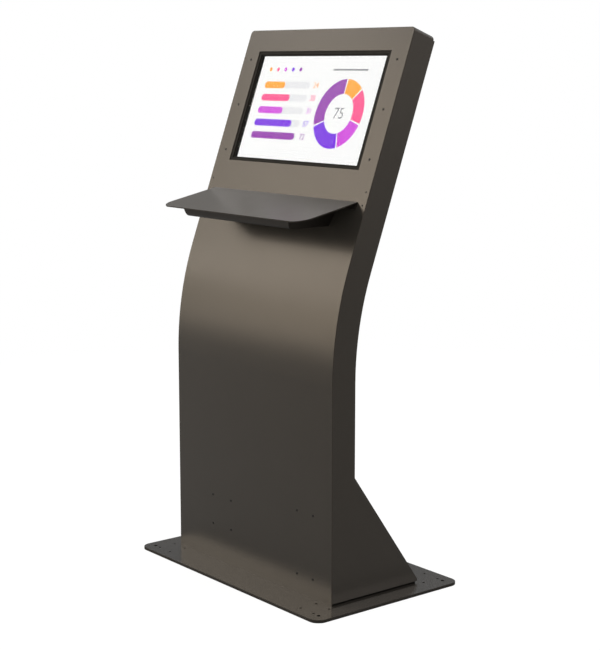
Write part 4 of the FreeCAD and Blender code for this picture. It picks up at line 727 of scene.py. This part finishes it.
class KIOSK_OT_cabinet(bpy.types.Operator):
    """Powder coat the sheets that show: cabinet, base plate, shelf, covers and door"""
    bl_idname = "kiosk.cabinet"
    bl_label = "Paint the cabinet"

    def execute(self, context):
        finish_nodes(powder_coat("bronze_powder_coat").material, [
            "front_panel", "side_panel_left", "side_panel_right", "top_cap", "rear_sill",
            "rear_middle_panel", "head_back_cover", "foot_door", "foot_door_hinge_barrels",
            "foot_door_hinge_leaves"])
        # Painted shade: the foot plate in the recess under the cabinet gets a much darker, matte copy of the
        # paint
        foot = powder_coat("foot_plate_painted_shade_coat", shade=-0.8, roughness=0.8, gloss=0.03)
        finish_nodes(foot.material, ["foot_plate"])
        finish_nodes(shelf_coat("shelf_coat_painted_light").material, ["shelf_plate"])
        # Painted shade: the box under the shelf gets a much darker copy of the paint
        box = powder_coat("shelf_box_painted_shade_coat", shade=-0.85, roughness=0.6, gloss=0.24)
        finish_nodes(box.material, ["shelf_box"])
        finish_nodes(lacquered_coat("base_coat_painted_light").material, ["base_plate"])
        return {"FINISHED"}


class KIOSK_OT_inner_sheet(bpy.types.Operator):
    """Galvanised finish on the plates, strips and brackets inside"""
    bl_idname = "kiosk.inner_sheet"
    bl_label = "Finish the inner sheet metal"

    def execute(self, context):
        finish_nodes(spangled_steel("galvanised_sheet", fitting_settings().sheet), [
            "rear_strip_left", "rear_strip_right", "foot_strip_left", "foot_strip_right",
            "wedge_rail", "monitor_case", "monitor_bracket_left", "monitor_bracket_right", "shelf_rail",
            "computer_bracket", "power_bracket", "supply_strap", "backlight_unit"])
        finish_nodes(soft_rubber("grommet_rubber", fitting_settings().rubber), ["cable_grommet"])
        return {"FINISHED"}


class KIOSK_OT_fasteners(bpy.types.Operator):
    """Finish the screws, bolts and hinge pins"""
    bl_idname = "kiosk.fasteners"
    bl_label = "Finish the fasteners"

    def execute(self, context):
        fittings = fitting_settings()
        black = bare_metal(
            "blackened_screw", fittings.screw, roughness=0.55, grain=(300, 300, 300), metallic=0.0,
            gloss=0.1)
        zinc = bare_metal("zinc_plate", fittings.zinc, roughness=0.3, grain=(200, 200, 200))
        finish_nodes(black, ["display_screws", "shelf_rail_screws", "column_screws", "rear_cover_screws",
                             "exhaust_fan_screws", "foot_door_hinge_screws"])
        finish_nodes(zinc, ["base_bolts", "shelf_bolts", "computer_lid_screws", "computer_mount_screws",
                            "power_strip_screws", "supply_strap_screws", "foot_door_hinge_pins"])
        return {"FINISHED"}


class KIOSK_OT_display(bpy.types.Operator):
    """Finish the bezel, touch glass and display"""
    bl_idname = "kiosk.display"
    bl_label = "Finish the display"

    def execute(self, context):
        bezel = moulded_plastic(
            "bezel_black", fitting_settings().bezel, roughness=0.7, grain=1.5 * MM, gloss=0.02)
        finish_nodes(bezel, ["display_bezel"])
        finish_nodes(touch_glass_finish("touch_glass_clear"), ["touch_glass"])
        finish_nodes(lit_display("display_lit"), ["lcd_panel"])
        return {"FINISHED"}


class KIOSK_OT_picture(bpy.types.Operator):
    """Draw the screen's picture in millimetres: level bars, a ring and plain figures"""
    bl_idname = "kiosk.picture"
    bl_label = "Draw the screen picture"

    COLORS = ("orange", "pink", "magenta", "violet", "purple")
    RISE = 0.06
    LIFT = 0.08
    LEFT = -226
    BARS = ((92, "24"), (128, "38"), (112, "31"), (168, "57"), (196, "72"))
    BAR_TOP = 66
    BAR_PITCH = 37
    BAR_HEIGHT = 20
    TRACK_LENGTH = 204
    FIGURES_X = 4
    FIGURE_HEIGHT = 23
    RING = (132, -12)
    RING_RADII = (56, 98)
    RING_TOP = 90.0
    RING_SHARES = (44, 62, 58, 84, 112)
    RING_GAP = 3
    RING_FIGURE = "75"
    RING_FIGURE_HEIGHT = 44
    HEADING_Z = 112
    DOT_INSET = 8
    DOT_PITCH = 34
    DOT_RADIUS = 6
    RULE = (60, 204)
    RULE_HEIGHT = 5

    def bars(self, sheet, track):
        for row, (length, figure) in enumerate(self.BARS):
            z = self.BAR_TOP - row * self.BAR_PITCH
            sheet.pill(self.LEFT, self.LEFT + self.TRACK_LENGTH, z, self.BAR_HEIGHT, track)
            sheet.pill(self.LEFT, self.LEFT + length, z, self.BAR_HEIGHT, row, level=1)
            sheet.number(figure, self.FIGURES_X, z, self.FIGURE_HEIGHT, row)

    def ring(self, sheet, grey):
        start = self.RING_TOP
        half_gap = self.RING_GAP / 2
        for row, share in enumerate(self.RING_SHARES):
            sheet.ring(*self.RING, *self.RING_RADII, start - half_gap, start - share + half_gap, row)
            start -= share
        sheet.number(self.RING_FIGURE, *self.RING, self.RING_FIGURE_HEIGHT, grey)

    def heading(self, sheet, grey):
        for row in range(len(self.COLORS)):
            x = self.LEFT + self.DOT_INSET + row * self.DOT_PITCH
            sheet.disc(x, self.HEADING_Z, self.DOT_RADIUS, row)
        sheet.pill(*self.RULE, self.HEADING_Z, self.RULE_HEIGHT, grey)

    def execute(self, context):
        screen = screen_settings()
        materials = []
        for name in self.COLORS:
            materials.append(rising_color("picture_" + name, getattr(screen, name), self.RISE))
        materials.append(lit_color("picture_track", screen.track))
        materials.append(lit_color("picture_grey", screen.grey))
        track = len(self.COLORS)
        grey = track + 1
        sheet = PictureSheet(self.LIFT)
        self.bars(sheet, track)
        self.ring(sheet, grey)
        self.heading(sheet, grey)
        mesh = finished_mesh("screen_picture", sheet.mesh, materials)
        new_piece("screen_picture", mesh, "kiosk")
        return {"FINISHED"}


class KIOSK_OT_electronics(bpy.types.Operator):
    """Finish the computer, its boards, the sockets, supply and fans"""
    bl_idname = "kiosk.electronics"
    bl_label = "Finish the electronics"

    def execute(self, context):
        fittings = fitting_settings()
        finish_nodes(moulded_plastic("case_black", fittings.case, roughness=0.5), [
            "computer_case", "computer_lid", "computer_fan", "power_supply", "exhaust_fan_frame",
            "exhaust_fan_rotor", "computer_power_button"])
        finish_nodes(moulded_plastic("socket_white", fittings.socket, roughness=0.4), ["power_strip"])
        finish_nodes(moulded_plastic("rocker_red", fittings.rocker, roughness=0.25), ["power_switch"])
        finish_nodes(solder_mask("board_green", fittings.board), ["monitor_board", "computer_board"])
        aluminium = bare_metal("milled_aluminium", fittings.aluminium, roughness=0.32)
        finish_nodes(aluminium, ["computer_heat_sink", "computer_drive"])
        return {"FINISHED"}


class KIOSK_OT_lock(bpy.types.Operator):
    """Finish the foot door's lock"""
    bl_idname = "kiosk.lock"
    bl_label = "Finish the door lock"

    def execute(self, context):
        nickel = bare_metal("lock_nickel", fitting_settings().nickel, roughness=0.22, grain=(260, 260, 260))
        finish_nodes(nickel, ["foot_lock_housing", "foot_lock_plug", "foot_lock_cam"])
        return {"FINISHED"}


class KIOSK_OT_contacts(bpy.types.Operator):
    """Make the contacts in the socket strip's four outlets"""
    bl_idname = "kiosk.contacts"
    bl_label = "Make the outlet contacts"

    SPACING = 7.5 * MM
    RADIUS = 1.8 * MM
    LENGTH = 10 * MM
    SUNK = 0.4 * MM
    MIDDLE_RISE = 4 * MM
    OUTER_DROP = 3 * MM

    def contact(self, mesh, low, middle, side):
        """One contact, standing on the outlet's floor."""
        rise = -self.OUTER_DROP if side else self.MIDDLE_RISE
        root = Vector((middle.x + side * self.SPACING, low.y - self.SUNK, middle.z + rise))
        round_bar(mesh, root, root + Vector((0, self.LENGTH, 0)), self.RADIUS)

    def execute(self, context):
        brass = bare_metal(
            "contact_brass", fitting_settings().brass, roughness=0.3, grain=(200, 200, 200))
        mesh = bmesh.new()
        for opening in frame["record"]["physics"]["openings"]:
            if opening["name"].startswith("outlet_"):
                low, high = (Vector(corner) for corner in opening["box_m"])
                for side in (-1, 0, 1):
                    self.contact(mesh, low, (low + high) / 2, side)
        new_piece("outlet_contacts", finished_mesh("outlet_contacts", mesh, [brass]), "kiosk")
        return {"FINISHED"}


class KIOSK_OT_stage(bpy.types.Operator):
    """Lay the floor and set the sky, lamps and camera"""
    bl_idname = "kiosk.stage"
    bl_label = "Set the stage"

    FLOOR_HALF = 40.0
    # Share of its own glow in the floor's look within the first distance, which is all of it past the second
    NEAR_GLOW = 0.88
    GLOW_DISTANCES = (1.2, 3.5)
    # The sky grows dark to gloss from the horizon up to this height, as a share of the whole height
    HORIZON_FADE = 0.06
    DARK_SKY = (0.16, 0.16, 0.16)
    WHITE = (1, 1, 1)
    SENSOR_WIDTH = 36.0
    TOP_LAMP_SIZE = 14.0
    TOP_LAMP_HEIGHT = 14.0

    # Each upright lamp's direction and width in degrees, and its lowest and highest point in metres
    LAMPS = {
        "key": (-46.5, 28, 2.8, 9.0),
        "low_key": (-46, 20, 0.0, 2.8),
        "left": (-80, 40, 8.0, 13.0),
        "front": (25, 80, 1.0, 13.0),
        "side": (129, 24, 0.5, 4.5),
        "rear": (125, 26, 4.5, 9.0),
        "back": (-123, 32, 7.0, 11.0),
        "behind": (158, 60, 6.5, 16.0),
    }

    def floor(self, stage):
        """A floor that takes shadows near the kiosk and fades to white away from it."""
        mesh = bpy.data.meshes.new("studio_floor")
        half = self.FLOOR_HALF
        corners = [(-half, -half, 0), (half, -half, 0), (half, half, 0), (-half, half, 0)]
        mesh.from_pydata(corners, [], [range(len(corners))])
        floor = bpy.data.objects.new("studio_floor", mesh)
        bpy.context.scene.collection.objects.link(floor)
        mesh.materials.append(self.floor_material(stage))

    def floor_material(self, stage):
        material = bpy.data.materials.new("studio_floor")
        tree = NodeTree(material)
        tree.nodes.clear()
        diffuse = tree.add("ShaderNodeBsdfDiffuse")
        tree.feed(diffuse.inputs["Color"], stage.floor_color)
        glow = tree.add("ShaderNodeEmission")
        gloss = tree.add("ShaderNodeLightPath").outputs["Is Glossy Ray"]
        tree.feed(glow.inputs["Strength"], tree.spread(gloss, 1.0, stage.floor_in_gloss, 0.0, 1.0))
        away = tree.add("ShaderNodeVectorMath", operation="LENGTH")
        tree.feed(away.inputs["Vector"], tree.add("ShaderNodeTexCoord").outputs["Object"])
        glow_share = tree.spread(away.outputs["Value"], self.NEAR_GLOW, 1.0, *self.GLOW_DISTANCES)
        share = tree.math("MULTIPLY", tree.seen_rays(), glow_share)
        tree.show("ShaderNodeOutputMaterial", share, diffuse.outputs["BSDF"], glow.outputs["Emission"])
        return material

    def sky(self, stage):
        """White to the camera and dark to gloss, with an even fill light for everything else."""
        world = bpy.data.worlds.new("studio_sky")
        bpy.context.scene.world = world
        tree = NodeTree(world)
        tree.nodes.clear()
        fill = tree.add("ShaderNodeBackground")
        tree.feed(fill.inputs["Strength"], stage.fill)
        direction = tree.add("ShaderNodeTexCoord").outputs["Generated"]
        height = tree.spread(tree.part(direction, "Z"), 0.0, 1.0, 0.0, self.HORIZON_FADE)
        camera_ray = tree.add("ShaderNodeLightPath").outputs["Is Camera Ray"]
        unseen = tree.math("SUBTRACT", height, camera_ray, clamped=True)
        backdrop = tree.add("ShaderNodeBackground")
        tree.feed(backdrop.inputs["Color"], tree.blend(unseen, self.WHITE, self.DARK_SKY))
        shaders = (fill.outputs["Background"], backdrop.outputs["Background"])
        tree.show("ShaderNodeOutputWorld", tree.seen_rays(), *shaders)

    def lamp(self, name, brightness, width, height, place, aim, color):
        """A rectangular lamp of this brightness, where a lamp of 1 looks white."""
        data = bpy.data.lights.new(name, "AREA")
        data.shape = "RECTANGLE"
        data.size = width
        data.size_y = height
        data.energy = brightness * math.pi * width * height
        data.color = color
        lamp = bpy.data.objects.new(name, data)
        lamp.location = place
        lamp.rotation_mode = "QUATERNION"
        lamp.rotation_quaternion = (aim - place).to_track_quat("-Z", "Y")
        lamp.visible_camera = False
        bpy.context.scene.collection.objects.link(lamp)

    def standing_lamp(self, name, brightness, color, azimuth, spread, low, high):
        """An upright lamp round the kiosk, facing its axis."""
        distance = stage_settings().lamp_distance
        turn = math.radians(azimuth)
        place = Vector((math.sin(turn) * distance, -math.cos(turn) * distance, (low + high) / 2))
        width = 2 * distance * math.tan(math.radians(spread / 2))
        self.lamp(name, brightness, width, high - low, place, Vector((0, 0, place.z)), color)

    def lamps(self, stage):
        tints = {"key": stage.key_color, "low_key": stage.low_key_color}
        for name, shape in self.LAMPS.items():
            color = tints.get(name, self.WHITE)
            self.standing_lamp(name + "_lamp", getattr(stage, name), color, *shape)
        size = self.TOP_LAMP_SIZE
        place = Vector((0, 0, self.TOP_LAMP_HEIGHT))
        self.lamp("top_lamp", stage.top, size, size, place, Vector((0, 0, 0)), self.WHITE)

    def camera(self, stage):
        data = bpy.data.cameras.new("photo_camera")
        data.lens = stage.camera_lens
        data.sensor_width = self.SENSOR_WIDTH
        camera = bpy.data.objects.new("photo_camera", data)
        bpy.context.scene.collection.objects.link(camera)
        across, up = stage.camera_azimuth, stage.camera_elevation
        back = Vector((math.sin(across) * math.cos(up), -math.cos(across) * math.cos(up), math.sin(up)))
        camera.location = Vector(stage.camera_aim) + back * stage.camera_distance
        camera.rotation_mode = "QUATERNION"
        camera.rotation_quaternion = (-back).to_track_quat("-Z", "Y")
        bpy.context.scene.camera = camera

    def execute(self, context):
        stage = stage_settings()
        self.floor(stage)
        self.sky(stage)
        self.lamps(stage)
        self.camera(stage)
        context.scene.view_settings.view_transform = "Standard"
        return {"FINISHED"}


class KIOSK_PT_panel(bpy.types.Panel):
    """Lists the kiosk's operators and settings"""
    bl_label = "Screen kiosk"
    bl_idname = "KIOSK_PT_panel"
    bl_space_type = "VIEW_3D"
    bl_region_type = "UI"
    bl_category = "Kiosk"

    def draw(self, context):
        layout = self.layout
        for operator in OPERATORS:
            layout.operator(operator.bl_idname)
        for name, group in SETTINGS:
            box = layout.box()
            for setting in group.__annotations__:
                box.prop(getattr(context.scene, name), setting)


OPERATORS = (
    KIOSK_OT_cabinet, KIOSK_OT_inner_sheet, KIOSK_OT_fasteners, KIOSK_OT_display, KIOSK_OT_picture,
    KIOSK_OT_electronics, KIOSK_OT_lock, KIOSK_OT_contacts, KIOSK_OT_stage)
SETTINGS = (
    ("kiosk_paint", PaintSettings), ("kiosk_screen", ScreenSettings),
    ("kiosk_fittings", FittingSettings), ("kiosk_stage", StageSettings))


def register():
    for name, group in SETTINGS:
        bpy.utils.register_class(group)
        setattr(bpy.types.Scene, name, PointerProperty(type=group))
    for operator in (*OPERATORS, KIOSK_PT_panel):
        bpy.utils.register_class(operator)


def unregister():
    for operator in reversed((*OPERATORS, KIOSK_PT_panel)):
        bpy.utils.unregister_class(operator)
    for name, group in reversed(SETTINGS):
        delattr(bpy.types.Scene, name)
        bpy.utils.unregister_class(group)


def main():
    register()
    bpy.ops.kiosk.cabinet()
    bpy.ops.kiosk.inner_sheet()
    bpy.ops.kiosk.fasteners()
    bpy.ops.kiosk.display()
    bpy.ops.kiosk.picture()
    bpy.ops.kiosk.electronics()
    bpy.ops.kiosk.lock()
    bpy.ops.kiosk.contacts()
    bpy.ops.kiosk.stage()


if __name__ == "__main__":
    main()
